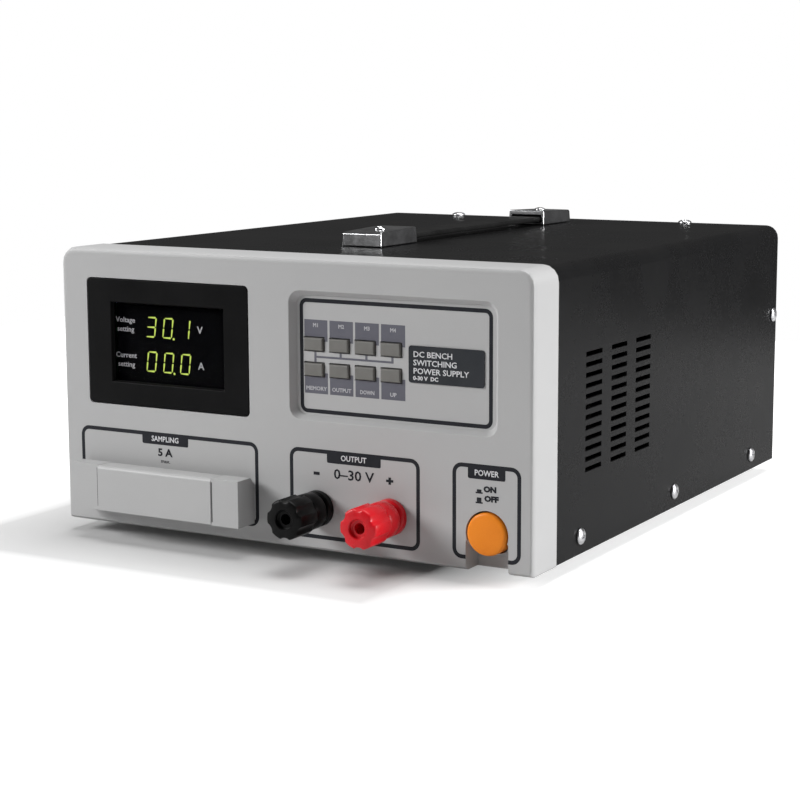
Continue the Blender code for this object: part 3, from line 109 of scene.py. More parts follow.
camera_data = bpy.data.cameras.new("view")
camera_data.lens = 86.28
camera_data.sensor_width = 36.0
camera_data.shift_x = -0.0602
camera_data.shift_y = -0.0115
camera_data.clip_start = 0.05
camera = link(bpy.data.objects.new("view", camera_data))
camera.location = at_face(414.2, -623.6, 179.1)
camera.rotation_euler = Vector((-0.4731, 0.8674, -0.1540)).to_track_quat("-Z", "Y").to_euler()
bpy.context.scene.camera = camera

# Painted shade: the floor glows white for the camera, but close to the case the glow is dimmed to almost
# nothing, inside a box shifted towards the left front. This stands for the shade under and beside the case.
FLOOR_HALF = 0.62
PAINTED_SHADE_SHIFT, CASE_HALF, ORIGIN = (0.04, 0.025, 0.0), (0.1, 0.14, 0.0), (0.0, 0.0, 0.0)
GLOW_NEAR, GLOW_FAR = (0.0, 0.02), (1.0, 0.9)
GLOW_BETWEEN = ((0.02, 0.4), (0.05, 0.62), (0.1, 0.7), (0.3, 0.76))

bm = bmesh.new()
bmesh.ops.create_grid(bm, x_segments=1, y_segments=1, size=FLOOR_HALF)
floor = mesh_piece("floor", bm)
floor_paint, tree, shader = plain_material(
    "floor_paint", Base_Color=(0.55, 0.55, 0.55, 1.0), Roughness=0.8, Emission_Color=(1.0, 1.0, 1.0, 1.0)
)
away = add(tree, "TexCoord", {}).outputs["Object"]
for operation, value in (
    ("ADD", PAINTED_SHADE_SHIFT),
    ("ABSOLUTE", ORIGIN),
    ("SUBTRACT", CASE_HALF),
    ("MAXIMUM", ORIGIN),
):
    away = add(tree, "VectorMath", {0: away, 1: value}, operation=operation).outputs["Vector"]
distance = add(tree, "VectorMath", {0: away}, operation="LENGTH")
painted_shade_fade = add(tree, "FloatCurve", {"Value": distance.outputs["Value"]})
curve = painted_shade_fade.mapping.curves[0]
curve.points[0].location = GLOW_NEAR
curve.points[1].location = GLOW_FAR
for spot in GLOW_BETWEEN:
    curve.points.new(*spot)
painted_shade_fade.mapping.update()
seen = add(tree, "LightPath", {}).outputs["Is Camera Ray"]
glow = add(tree, "Math", {0: painted_shade_fade.outputs["Value"], 1: seen}, operation="MULTIPLY")
tree.links.new(glow.outputs[0], shader.inputs["Emission Strength"])
floor.data.materials.append(floor_paint)

WORLD_SEEN, WORLD_LIGHT = 0.945, 0.055
bpy.context.scene.view_settings.view_transform = "Standard"
world = bpy.data.worlds.new("studio")
bpy.context.scene.world = world
world.use_nodes = True
tree = world.node_tree
seen = add(tree, "LightPath", {}).outputs["Is Camera Ray"]
strength = add(tree, "Math", {0: seen, 1: WORLD_SEEN, 2: WORLD_LIGHT}, operation="MULTIPLY_ADD")
sky = tree.nodes["Background"]
sky.inputs["Color"].default_value = (1.0, 1.0, 1.0, 1.0)
tree.links.new(strength.outputs[0], sky.inputs["Strength"])


def soft_light(name, where, side, power, aim):
    data = bpy.data.lights.new(name, "AREA")
    data.shape = "RECTANGLE"
    data.size = data.size_y = side
    data.energy = power
    lamp = link(bpy.data.objects.new(name, data))
    lamp.location = where
    lamp.rotation_euler = (Vector(aim) - Vector(where)).to_track_quat("-Z", "Y").to_euler()


soft_light("left_light", (-1.15, -0.9, 0.75), 0.6, 24.0, (-0.05, -0.1, 0.05))
soft_light("right_light", (1.35, 0.25, 0.4), 0.6, 22.0, (0.1, 0.1, 0.05))
overhead = bpy.data.lights.new("overhead", "SUN")
overhead.energy = 2.5
overhead.angle = math.radians(32.0)
sun = link(bpy.data.objects.new("overhead", overhead))
sun.rotation_euler = Vector((-0.05, -0.14, -1.0)).to_track_quat("-Z", "Y").to_euler()

# ---------------------------------------------------------------------------------------------
# Chassis base: a tray of zinc plated steel sheet with folded flanges, pressed standoffs and
# punched holes. The cover screws bite into its side flanges.
# ---------------------------------------------------------------------------------------------


def surface_group():
    """Colour, roughness and relief of a made surface: broad mottling, fine grain and settled dust."""
    group = bpy.data.node_groups.new("made_surface", "ShaderNodeTree")
    for name, kind, value in (
        ("Colour", "NodeSocketColor", (0.5, 0.5, 0.5, 1.0)),
        ("Second Colour", "NodeSocketColor", (0.4, 0.4, 0.4, 1.0)),
        ("Mottle Scale", "NodeSocketFloat", 20.0),
        ("Grain Scale", "NodeSocketFloat", 900.0),
        ("Grain Depth", "NodeSocketFloat", 0.00002),
        ("Smooth Roughness", "NodeSocketFloat", 0.3),
        ("Rough Roughness", "NodeSocketFloat", 0.5),
        ("Dust", "NodeSocketFloat", 0.0),
    ):
        socket = group.interface.new_socket(name=name, in_out="INPUT", socket_type=kind)
        socket.default_value = value
    for name, kind in (
        ("Colour", "NodeSocketColor"),
        ("Roughness", "NodeSocketFloat"),
        ("Normal", "NodeSocketVector"),
    ):
        group.interface.new_socket(name=name, in_out="OUTPUT", socket_type=kind)
    given = group.nodes.new("NodeGroupInput").outputs
    result = group.nodes.new("NodeGroupOutput").inputs
    place = add(group, "TexCoord", {}).outputs["Object"]
    broad = add(
        group, "TexNoise", {"Vector": place, "Scale": given["Mottle Scale"], "Detail": 5.0, "Roughness": 0.6}
    ).outputs["Fac"]
    fine = add(group, "TexNoise", {"Vector": place, "Scale": given["Grain Scale"], "Detail": 3.0}).outputs["Fac"]
    both = add(group, "Math", {0: fine, 1: 0.35, 2: broad}, operation="MULTIPLY_ADD").outputs[0]
    spread = add(group, "MapRange", {"Value": both, "From Min": 0.5, "From Max": 0.85}).outputs["Result"]
    tone = add(
        group, "Mix", {"Factor": spread, "A": given["Colour"], "B": given["Second Colour"]}, data_type="RGBA"
    ).outputs["Result"]
    facing = add(group, "NewGeometry", {}).outputs["Normal"]
    upward = add(group, "SeparateXYZ", {"Vector": facing}).outputs["Z"]
    lying = add(group, "MapRange", {"Value": upward, "From Min": 0.55, "From Max": 1.0}).outputs["Result"]
    patches = add(group, "Math", {0: lying, 1: spread}, operation="MULTIPLY").outputs[0]
    dusty = add(group, "Math", {0: patches, 1: given["Dust"]}, operation="MULTIPLY").outputs[0]
    settled = add(group, "Mix", {"Factor": dusty, "A": tone, "B": (0.36, 0.34, 0.31, 1.0)}, data_type="RGBA")
    rough = add(
        group,
        "MapRange",
        {"Value": spread, "To Min": given["Smooth Roughness"], "To Max": given["Rough Roughness"]},
    )
    relief = add(group, "Bump", {"Strength": 1.0, "Distance": given["Grain Depth"], "Height": fine})
    group.links.new(settled.outputs["Result"], result["Colour"])
    group.links.new(rough.outputs["Result"], result["Roughness"])
    group.links.new(relief.outputs["Normal"], result["Normal"])
    return group


made_surface = surface_group()


def finish(name, colour, second, rough, grain, metallic=0.0, mottle=20.0, dust=0.0, **sockets):
    """A material on the made surface: two colours, a roughness range, the grain's scale and depth."""
    made, tree, shader = plain_material(name, Metallic=metallic, **sockets)
    values = {
        "Colour": (*colour, 1.0),
        "Second Colour": (*second, 1.0),
        "Mottle Scale": mottle,
        "Grain Scale": grain[0],
        "Grain Depth": grain[1],
        "Smooth Roughness": rough[0],
        "Rough Roughness": rough[1],
        "Dust": dust,
    }
    surface = add(tree, "Group", values, node_tree=made_surface).outputs
    tree.links.new(surface["Colour"], shader.inputs["Base Color"])
    tree.links.new(surface["Roughness"], shader.inputs["Roughness"])
    tree.links.new(surface["Normal"], shader.inputs["Normal"])
    return made


def dressed(piece, material, body, ease=0.0, segments=2, crease=32.0):
    """Gives a piece its material, smooth shading, eased edges and its body, when one is given."""
    mesh = piece.data
    mesh.materials.clear()
    mesh.materials.append(material)
    mesh.shade_smooth()
    if ease > 0.0:
        edges = piece.modifiers.new("eased_edges", "BEVEL")
        edges.width = ease
        edges.segments = segments
        edges.limit_method = "ANGLE"
        edges.angle_limit = math.radians(crease)
        edges.use_clamp_overlap = True
        flats = piece.modifiers.new("level_flats", "WEIGHTED_NORMAL")
        flats.keep_sharp = True
    else:
        mesh.set_sharp_from_angle(angle=math.radians(crease))
    if body is not None:
        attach(piece, body)
    return piece


TOUCHING = 0.000002


def from_bmesh(name, bm, material, body, ease=0.0, segments=2, crease=32.0):
    """Makes a closed, outward-facing piece of a bmesh, and dresses it."""
    bmesh.ops.remove_doubles(bm, verts=bm.verts, dist=TOUCHING)
    bmesh.ops.recalc_face_normals(bm, faces=bm.faces)
    return dressed(mesh_piece(name, bm), material, body, ease, segments, crease)


bodies = frame["record"]["behaviour"]["bodies"]
node_body = {node: body for body, members in bodies.items() for node in members}
node_slot = {row["node"]: row["material_slot"] for row in frame["record"]["subparts"]}
LOOSE_CORNERS = 0.00001
FLAT = math.radians(0.8)


def refined(node, material, ease, segments=2, crease=32.0):
    """A CAD solid's shape with its loose faces merged, its edges eased and its round sides smooth."""
    bm = bmesh.new()
    bm.from_mesh(frame["nodes"][node].data)
    bmesh.ops.remove_doubles(bm, verts=bm.verts, dist=LOOSE_CORNERS)
    bmesh.ops.dissolve_limit(
        bm, angle_limit=FLAT, use_dissolve_boundaries=False, verts=bm.verts, edges=bm.edges
    )
    body, slot = node_body[node], node_slot[node]
    piece = from_bmesh("fine_" + node, bm, material, body, ease, segments, crease)
    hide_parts(node)
    return piece


zinc_plate = finish(
    "zinc_plate", (0.55, 0.56, 0.57), (0.42, 0.43, 0.45), (0.28, 0.45), (700.0, 0.00001),
    metallic=1.0, mottle=60.0,
)
refined("chassis_base", zinc_plate, 0.25 * MM)

# ---------------------------------------------------------------------------------------------
# Feet: four turned rubber pads with a sunk screw each, moulded in black and screwed to the tray
# from below.
# ---------------------------------------------------------------------------------------------


FEET = ("foot_front_left", "foot_front_right", "foot_rear_left", "foot_rear_right")
BACKWARD = Matrix.Rotation(-math.pi / 2, 4, "X")


def settle(bm):
    """Marks all that is in place, so that the next shape can be moved on its own."""
    for v in bm.verts:
        v.tag = True


def in_mm(points):
    return [tuple(value * MM for value in point) for point in points]


def full_turn(bm, geom, steps):
    bmesh.ops.spin(
        bm, geom=geom, cent=(0, 0, 0), axis=(0, 0, 1), angle=2 * math.pi, steps=steps, use_merge=True
    )


def turned(bm, profile, at=(0, 0, 0), turn=Matrix.Identity(4), steps=32):
    """Spins a profile of (radius, height) points about the upright axis, then turns and places it."""
    verts = [bm.verts.new((radius, 0.0, height)) for radius, height in profile]
    edges = [bm.edges.new(pair) for pair in zip(verts, verts[1:])]
    full_turn(bm, verts + edges, steps)
    fresh = [v for v in bm.verts if not v.tag]
    bmesh.ops.transform(bm, matrix=Matrix.Translation(at) @ turn, verts=fresh)
    settle(bm)


def rounded(bm, geom, offset, segments, affect="EDGES", clamp=False):
    bmesh.ops.bevel(
        bm,
        geom=geom,
        offset=offset,
        offset_type="OFFSET",
        affect=affect,
        segments=segments,
        profile=0.5,
        material=-1,
        clamp_overlap=clamp,
    )


def block(bm, low, high, ease=0.0, segments=2):
    """A box between two corners, with its edges rounded off when an ease is given."""
    low, high = Vector(low), Vector(high)
    matrix = Matrix.Translation((low + high) / 2) @ Matrix.Diagonal((*(high - low), 1.0))
    made = bmesh.ops.create_cube(bm, size=1.0, matrix=matrix)
    if ease > 0.0:
        edges = list({edge for v in made["verts"] for edge in v.link_edges})
        rounded(bm, edges, ease, segments, clamp=True)
    settle(bm)


foot_rubber = finish(
    "foot_rubber", (0.018, 0.018, 0.018), (0.03, 0.029, 0.028), (0.7, 0.9), (1500.0, 0.00003),
    mottle=90.0, dust=0.2,
)
SCREW_SUNK = 2.6
for foot in FEET:
    low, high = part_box(foot)
    x, y = (low.x + high.x) / 2, (low.y + high.y) / 2
    radius, tall = (high.x - low.x) / 2, high.z - low.z
    rim = radius - 0.3 * MM
    bm = bmesh.new()
    profile = in_mm([(0.0, SCREW_SUNK), (2.6, SCREW_SUNK), (2.6, 0.5), (3.0, 0.1), (3.4, 0.0)])
    profile += [(radius - 2.6 * MM, 0.0), (radius - 1.7 * MM, 0.2 * MM), (radius - 1.1 * MM, 0.8 * MM)]
    profile += [(rim, tall - 0.6 * MM), (rim, tall - 0.1 * MM), (radius - 0.8 * MM, tall), (0.0, tall)]
    turned(bm, profile, (x, y, low.z), steps=40)
    pad = from_bmesh("pad_" + foot, bm, foot_rubber, "case", crease=40.0)
    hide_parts(foot)

# ---------------------------------------------------------------------------------------------
# Screws: pressed steel heads with a cross recess, nickel plated. One head is shaped and its copies
# are turned into place, on the cover, the feet, the fan, the inlet and the handle caps.
# ---------------------------------------------------------------------------------------------
screw_nickel = finish(
    "screw_nickel", (0.8, 0.8, 0.81), (0.68, 0.68, 0.7), (0.26, 0.38), (2500.0, 0.000004),
    metallic=1.0, mottle=300.0,
)


CROSS_TAPER = 0.55


def screw_mesh(radius, height, shank, length):
    """A domed head with a tapered cross recess, standing on its shank, pointing up."""
    angles = (0.0, 0.3, 0.6, 0.9, 1.2, 1.45, 1.57)
    dome = [(radius * math.sin(a), height * (0.18 + 0.82 * math.cos(a))) for a in angles]
    profile = dome + [(radius, 0.0), (shank, 0.0), (shank, -length), (0.0, -length)]
    bm = bmesh.new()
    turned(bm, profile, steps=32)
    bmesh.ops.remove_doubles(bm, verts=bm.verts, dist=TOUCHING / 2)
    bmesh.ops.recalc_face_normals(bm, faces=bm.faces)
    head = mesh_piece("screw_shape", bm)
    bm = bmesh.new()
    for turn in (0.0, math.pi / 2):
        matrix = Matrix.Rotation(turn, 4, "Z") @ Matrix.Translation((0, 0, height))
        matrix = matrix @ Matrix.Diagonal((radius * 1.25, radius * 0.3, height * 1.3, 1.0))
        arm = bmesh.ops.create_cube(bm, size=1.0, matrix=matrix)
        for v in arm["verts"]:
            if v.co.z < height:
                v.co.x *= CROSS_TAPER
                v.co.y *= CROSS_TAPER
    cutter = mesh_piece("cross_shape", bm)
    cross = head.modifiers.new("cross", "BOOLEAN")
    cross.operation = "DIFFERENCE"
    cross.solver = "EXACT"
    cross.use_self = True
    cross.object = cutter
    bpy.context.view_layer.update()
    shaped = bpy.data.meshes.new_from_object(head.evaluated_get(bpy.context.evaluated_depsgraph_get()))
    bpy.data.objects.remove(head)
    bpy.data.objects.remove(cutter)
    return shaped


HEAD_TALL = 1.45 * MM
pan_head = screw_mesh(3.3 * MM, HEAD_TALL, 1.5 * MM, 4.0 * MM)
SCREW_SUNK_SCALE = 0.7
OUTWARD = {
    "up": Matrix.Identity(4),
    "down": Matrix.Rotation(math.pi, 4, "X"),
    "back": BACKWARD,
    "right": Matrix.Rotation(math.pi / 2, 4, "Y"),
    "left": Matrix.Rotation(-math.pi / 2, 4, "Y"),
}


def screw(name, at, way, spin, scale=1.0, node=None, material=screw_nickel):
    """Sets a copy of the pan head on a surface, facing outwards, its cross turned by some degrees."""
    mesh = pan_head.copy()
    spun = Matrix.Rotation(math.radians(spin), 4, "Z") @ Matrix.Scale(scale, 4)
    mesh.transform(Matrix.Translation(at) @ OUTWARD[way] @ spun)
    piece = link(bpy.data.objects.new(name, mesh))
    dressed(piece, material, "case", crease=28.0)
    if node is not None:
        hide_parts(node)


SEAT = 1.8 * MM
for side, top_spin in (("left", 12.0), ("right", 55.0)):
    for i, place in enumerate(("1", "2", "3", "back")):
        node = f"screw_{side}_{place}"
        low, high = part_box(node)
        middle = (low + high) / 2
        seat = high.x - SEAT if side == "right" else low.x + SEAT
        screw("head_" + node, (seat, middle.y, middle.z), side, 17.0 + 31.0 * i, node=node)
    node = f"screw_top_{side}"
    low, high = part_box(node)
    middle = (low + high) / 2
    screw("head_" + node, (middle.x, middle.y, high.z - SEAT), "up", top_spin, node=node)
for foot in FEET:
    low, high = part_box(foot)
    middle = (low + high) / 2
    seat = (middle.x, middle.y, low.z + SCREW_SUNK * MM)
    screw("screw_in_" + foot, seat, "down", 40.0, scale=SCREW_SUNK_SCALE)

# ---------------------------------------------------------------------------------------------
# Inside: the main circuit board with its heat sink, transformer, main capacitor and rows of small
# components, all soldered to it. They show only through the vents and the fan.
# ---------------------------------------------------------------------------------------------
board_green = finish(
    "board_green", (0.012, 0.11, 0.04), (0.02, 0.17, 0.06), (0.3, 0.5), (400.0, 0.00003), mottle=160.0
)
sink_metal = finish(
    "sink_metal", (0.62, 0.63, 0.65), (0.5, 0.51, 0.54), (0.3, 0.5), (500.0, 0.00001),
    metallic=1.0, mottle=50.0,
)
ferrite = finish(
    "ferrite", (0.05, 0.048, 0.045), (0.1, 0.095, 0.09), (0.5, 0.75), (800.0, 0.00005),
    mottle=70.0,
)
winding_tape = finish(
    "winding_tape", (0.62, 0.42, 0.06), (0.5, 0.32, 0.04), (0.3, 0.45), (500.0, 0.00002), mottle=40.0
)
can_sleeve = finish(
    "can_sleeve", (0.012, 0.02, 0.06), (0.02, 0.03, 0.08), (0.25, 0.4), (600.0, 0.00001),
    mottle=60.0,
)
component_black = finish(
    "component_black", (0.02, 0.02, 0.021), (0.032, 0.032, 0.033), (0.45, 0.65), (1800.0, 0.00002),
    mottle=200.0,
)
refined("main_board", board_green, 0.1 * MM)
refined("heat_sink", sink_metal, 0.15 * MM)
refined("transformer", ferrite, 0.4 * MM)
refined("main_capacitor", can_sleeve, 0.15 * MM)
low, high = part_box("transformer")
WRAP_HALF, WRAP_DEEP, WRAP_PROUD, CORE_WALL = 13.6 * MM, 8.0 * MM, 0.4 * MM, 9.0 * MM
left, right = (low.x + high.x) / 2 - WRAP_HALF, (low.x + high.x) / 2 + WRAP_HALF
bm = bmesh.new()
for near, far in ((low.y - WRAP_PROUD, low.y + WRAP_DEEP), (high.y - WRAP_DEEP, high.y + WRAP_PROUD)):
    block(bm, (left, near, low.z + CORE_WALL), (right, far, high.z - CORE_WALL), 1.5 * MM, 3)
from_bmesh("winding_wrap", bm, winding_tape, "case", crease=40.0)

low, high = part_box("main_board")
solder_z = high.z + 0.05 * MM
bm = bmesh.new()
cans = bmesh.new()
for i in range(7):
    x = low.x + (18.0 + 9.5 * i) * MM
    y = low.y + (10.0 + 3.0 * (i % 3)) * MM
    tall = 12.0 + 3.0 * (i % 2)
    can = [(0.0, 0.0), (4.0, 0.0), (4.0, 1.2), (3.7, 1.6), (4.0, 2.0), (4.0, tall - 0.5), (3.5, tall)]
    can += [(2.6, tall), (2.5, tall - 0.25), (0.0, tall - 0.25)]
    turned(cans, in_mm(can), (x, y, solder_z), steps=20)
for row in range(3):
    for i in range(8):
        x = high.x - (14.0 + 8.0 * i) * MM
        y = low.y + (14.0 + 11.0 * row) * MM
        deep = (3.2 if (row + i) % 3 else 6.4) * MM
        block(bm, (x, y, solder_z), (x + 5.2 * MM, y + deep, high.z + 2.2 * MM), 0.2 * MM)
from_bmesh("small_cans", cans, can_sleeve, "case", crease=35.0)
from_bmesh("small_chips", bm, component_black, "case")

# ---------------------------------------------------------------------------------------------
# Rear panel: a pan of plated steel with forward flanges, painted grey outside, punched for the
# fan and the mains inlet. An earth stud with its nut and washer stands beside the inlet.
# ---------------------------------------------------------------------------------------------
rear_paint = finish(
    "rear_paint", (0.05, 0.05, 0.052), (0.07, 0.07, 0.072), (0.42, 0.58), (1500.0, 0.00004),
    mottle=30.0, dust=0.25,
)
refined("rear_panel", rear_paint, 0.25 * MM)
REAR_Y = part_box("rear_panel")[1].y
inlet_low, inlet_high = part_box("mains_inlet")
inlet_x, inlet_z = (inlet_low.x + inlet_high.x) / 2, (inlet_low.z + inlet_high.z) / 2

bm = bmesh.new()
stud_at = (inlet_x - 38.0 * MM, REAR_Y + 0.05 * MM, inlet_z)
washer_and_stud = [(0.0, 0.0), (4.6, 0.0), (4.6, 0.8), (2.0, 0.8), (2.0, 7.0), (1.6, 7.5), (0.0, 7.5)]
hexagon_nut = [(2.05, 0.9), (3.9, 0.9), (3.9, 3.6), (2.05, 3.6)]
turned(bm, in_mm(washer_and_stud), stud_at, BACKWARD, 28)
turned(bm, in_mm(hexagon_nut), stud_at, BACKWARD, 6)
plated_brass = finish(
    "plated_brass", (0.7, 0.64, 0.5), (0.6, 0.54, 0.4), (0.2, 0.34), (1500.0, 0.000006),
    metallic=1.0, mottle=200.0,
)
from_bmesh("earth_stud", bm, plated_brass, "case", 0.12 * MM)

# ---------------------------------------------------------------------------------------------
# Lettering and printed marks. Ink lies on the surface as a film a few hundredths of a millimetre
# thick. All lettering is in plain words and numbers.
# ---------------------------------------------------------------------------------------------
INK = 0.03 * MM
FACE_TURN = Matrix.Rotation(math.pi / 2, 4, "X")
BACK_TURN = Matrix.Rotation(math.pi, 4, "Z") @ FACE_TURN


def lettering(bm, words, size, at, turn=FACE_TURN, weight=0.0, wide=1.0, align="CENTER"):
    """Adds words as thin solid letters, centred on a point of the surface."""
    curve = bpy.data.curves.new("words", "FONT")
    curve.body = words
    curve.size = size
    curve.align_x = align
    curve.align_y = "CENTER"
    curve.extrude = INK / 2
    curve.offset = weight
    curve.resolution_u = 2
    holder = link(bpy.data.objects.new("words", curve))
    bpy.context.view_layer.update()
    mesh = bpy.data.meshes.new_from_object(holder.evaluated_get(bpy.context.evaluated_depsgraph_get()))
    mesh.transform(Matrix.Translation(at) @ turn @ Matrix.Diagonal((wide, 1.0, 1.0, 1.0)))
    bm.from_mesh(mesh)
    bpy.data.objects.remove(holder)
    bpy.data.meshes.remove(mesh)


def thickened(bm, depth):
    """Gives flat faces a thickness towards the back, or towards the front when it is negative."""
    pushed = bmesh.ops.extrude_face_region(bm, geom=bm.faces[:])["geom"]
    moved = [v for v in pushed if isinstance(v, bmesh.types.BMVert)]
    bmesh.ops.translate(bm, vec=(0.0, depth, 0.0), verts=moved)


def cut_across(bm, at, normal):
    everything = bm.verts[:] + bm.edges[:] + bm.faces[:]
    bmesh.ops.bisect_plane(bm, geom=everything, plane_co=at, plane_no=normal)


def patch(bm, low, high, y, radius=0.0, line=0.0, corners="all", gap=None):
    """Adds a printed rectangle facing forward, from (x, z) to (x, z). A line width leaves only its
    outline, and a gap, from x to x, leaves that out of its bottom line."""
    made = bmesh.new()
    corner_points = ((low[0], low[1]), (high[0], low[1]), (high[0], high[1]), (low[0], high[1]))
    verts = [made.verts.new((px, 0.0, pz)) for px, pz in corner_points]
    made.faces.new(verts)
    if radius > 0.0:
        rounded(made, verts if corners == "all" else verts[:2], radius, 8, "VERTICES")
    if line > 0.0:
        inner = made.faces[:]
        bmesh.ops.inset_region(
            made, faces=inner, thickness=line, use_even_offset=True, use_boundary=True
        )
        bmesh.ops.delete(made, geom=inner, context="FACES")
    if gap is not None:
        for x in gap:
            cut_across(made, (x, 0, 0), (1, 0, 0))
        between = [f for f in made.faces if gap[0] < f.calc_center_median().x < gap[1]]
        below = [f for f in between if f.calc_center_median().z < low[1] + 2 * line]
        bmesh.ops.delete(made, geom=below, context="FACES")
    thickened(made, -INK)
    bmesh.ops.translate(made, vec=(0.0, y + INK / 2, 0.0), verts=made.verts)
    bmesh.ops.recalc_face_normals(made, faces=made.faces)
    mesh = bpy.data.meshes.new("patch")
    made.to_mesh(mesh)
    made.free()
    bm.from_mesh(mesh)
    bpy.data.meshes.remove(mesh)


def printed(name, bm, material):
    piece = mesh_piece(name, bm)
    piece.data.materials.append(material)
    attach(piece, "case")


ink_dark = finish(
    "ink_dark", (0.014, 0.015, 0.019), (0.02, 0.021, 0.026), (0.4, 0.55), (3000.0, 0.000003),
    mottle=120.0,
    Specular_IOR_Level=0.15,
)
ink_white = finish(
    "ink_white", (0.72, 0.72, 0.74), (0.62, 0.62, 0.64), (0.45, 0.6), (3000.0, 0.000003), mottle=200.0,
    Specular_IOR_Level=0.15,
)
ink_slate = finish(
    "ink_slate", (0.12, 0.12, 0.145), (0.135, 0.135, 0.16), (0.42, 0.6), (2500.0, 0.000006),
    mottle=150.0,
    Specular_IOR_Level=0.15,
)
ink_grey = finish(
    "ink_grey", (0.5, 0.5, 0.52), (0.42, 0.42, 0.44), (0.45, 0.6), (3000.0, 0.000003), mottle=200.0,
    Specular_IOR_Level=0.15,
)

bm = bmesh.new()
lettering(bm, "AC INPUT", 4.2 * MM, (inlet_x, REAR_Y + INK, inlet_z + 24.0 * MM), BACK_TURN)
lettering(bm, "FUSE", 3.0 * MM, (inlet_x, REAR_Y + INK, inlet_z - 23.0 * MM), BACK_TURN)
printed("rear_lettering", bm, ink_white)

# ---------------------------------------------------------------------------------------------
# Fan: a moulded square frame with four struts and a motor hub, a seven-bladed rotor that spins on
# it, and a guard of chrome plated wire rings welded to two crossed wires, screwed on from outside.
# ---------------------------------------------------------------------------------------------
fan_black = finish(
    "fan_black", (0.014, 0.014, 0.015), (0.022, 0.022, 0.023), (0.38, 0.55), (1600.0, 0.00002),
    mottle=60.0, dust=0.3,
)
guard_chrome = finish(
    "guard_chrome", (0.7, 0.71, 0.73), (0.6, 0.61, 0.63), (0.12, 0.22), (900.0, 0.000004),
    metallic=1.0, mottle=120.0,
)
refined("fan_frame", fan_black, 0.3 * MM)
refined("fan_rotor", fan_black, 0.25 * MM, crease=38.0)
fan_low, fan_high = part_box("fan_frame")
fan_x, fan_z = (fan_low.x + fan_high.x) / 2, (fan_low.z + fan_high.z) / 2
guard_low, guard_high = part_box("fan_guard")
WIRE = 1.0 * MM
WIRE_SIDES = 10
RINGS = 5
ARM = 50.0 * MM
panel_y = REAR_Y + 0.3 * MM
reach = (guard_high.x - guard_low.x) / 2 - WIRE
bm = bmesh.new()
for i in range(RINGS):
    ring_radius = reach * (RINGS - i) / RINGS - (0.6 * MM if i else 0.0)
    angles = [2 * math.pi * k / WIRE_SIDES for k in range(WIRE_SIDES)]
    circle = [bm.verts.new((ring_radius + WIRE * math.cos(a), 0.0, WIRE * math.sin(a))) for a in angles]
    loop = [bm.edges.new(pair) for pair in zip(circle, circle[1:] + circle[:1])]
    full_turn(bm, circle + loop, 48)
lying = Matrix.Rotation(math.pi / 2, 4, "Y")
for turn in (45.0, 135.0):
    for side in (-1, 1):
        out = Matrix.Translation((side * ARM / 2, 0, -1.5 * WIRE))
        matrix = Matrix.Rotation(math.radians(turn), 4, "Z") @ out @ lying
        bmesh.ops.create_cone(
            bm, cap_ends=True, segments=12, radius1=WIRE, radius2=WIRE, depth=ARM, matrix=matrix
        )
hub = Matrix.Translation((fan_x, panel_y + WIRE, fan_z))
bmesh.ops.transform(bm, matrix=hub @ BACKWARD, verts=bm.verts)
for v in bm.verts:
    v.co.y = max(v.co.y, panel_y)
guard = from_bmesh("wire_guard", bm, guard_chrome, "case", crease=40.0)
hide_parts("fan_guard")
FAN_HOLES = 35.8 * MM
for i, (across, up) in enumerate(((-1, -1), (1, -1), (1, 1), (-1, 1))):
    spot = (fan_x + across * FAN_HOLES, REAR_Y + 1.4 * MM, fan_z + up * FAN_HOLES)
    screw(f"fan_screw_{i + 1}", spot, "back", 20.0 + 37.0 * i, scale=1.05)

# ---------------------------------------------------------------------------------------------
# Mains inlet: a moulded black connector body with three brass blades in its cavity, screwed to
# the rear panel. Its fuse drawer slides out, and has three ribs for a fingertip.
# ---------------------------------------------------------------------------------------------
inlet_black = finish(
    "inlet_black", (0.013, 0.013, 0.014), (0.02, 0.02, 0.021), (0.34, 0.48), (2200.0, 0.00001),
    mottle=80.0, dust=0.1,
)
refined("mains_inlet", inlet_black, 0.35 * MM)
refined("fuse_drawer", inlet_black, 0.25 * MM)
BLADE_HALF_X, BLADE_HALF_Z = 1.06 * MM, 2.06 * MM
root, tip = inlet_high.y - 17.2 * MM, inlet_high.y - 2.9 * MM
bm = bmesh.new()
for across, up in ((-7.0, 4.2), (7.0, 4.2), (0.0, 8.0)):
    x, z = inlet_x + across * MM, inlet_z + up * MM
    low, high = (x - BLADE_HALF_X, root, z - BLADE_HALF_Z), (x + BLADE_HALF_X, tip, z + BLADE_HALF_Z)
    block(bm, low, high, 0.35 * MM, 2)
from_bmesh("inlet_blades", bm, plated_brass, "case", crease=40.0)
low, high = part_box("fuse_drawer")
RIB_HALF_X, RIB_HALF_Z, RIB_PITCH = 0.5 * MM, 2.2 * MM, 2.2 * MM
root, tip = high.y - 0.2 * MM, high.y + 0.7 * MM
z = (low.z + high.z) / 2
bm = bmesh.new()
for i in (-1, 0, 1):
    x = (low.x + high.x) / 2 + i * RIB_PITCH
    block(bm, (x - RIB_HALF_X, root, z - RIB_HALF_Z), (x + RIB_HALF_X, tip, z + RIB_HALF_Z), 0.25 * MM)
from_bmesh("drawer_ribs", bm, inlet_black, "fuse_drawer", crease=40.0)
for side, sign in (("left", -1), ("right", 1)):
    spot = (inlet_x + sign * 20.0 * MM, inlet_high.y, inlet_z)
    screw(f"inlet_screw_{side}", spot, "back", 30.0 * sign, scale=0.9)

# ---------------------------------------------------------------------------------------------
# Front bezel: one hollow moulding in ABS, sprayed with a pale silver-grey paint. The keypad
# recess, the button's guide and the scoop below the button are all part of it.
# ---------------------------------------------------------------------------------------------
silver_paint = finish(
    "silver_paint",
    (0.45, 0.45, 0.45),
    (0.43, 0.43, 0.432),
    (0.38, 0.5),
    (2600.0, 0.00001),
    mottle=14.0,
    Specular_IOR_Level=0.25,
)
bezel = refined("front_bezel", silver_paint, 0.45 * MM, 3, 36.0)

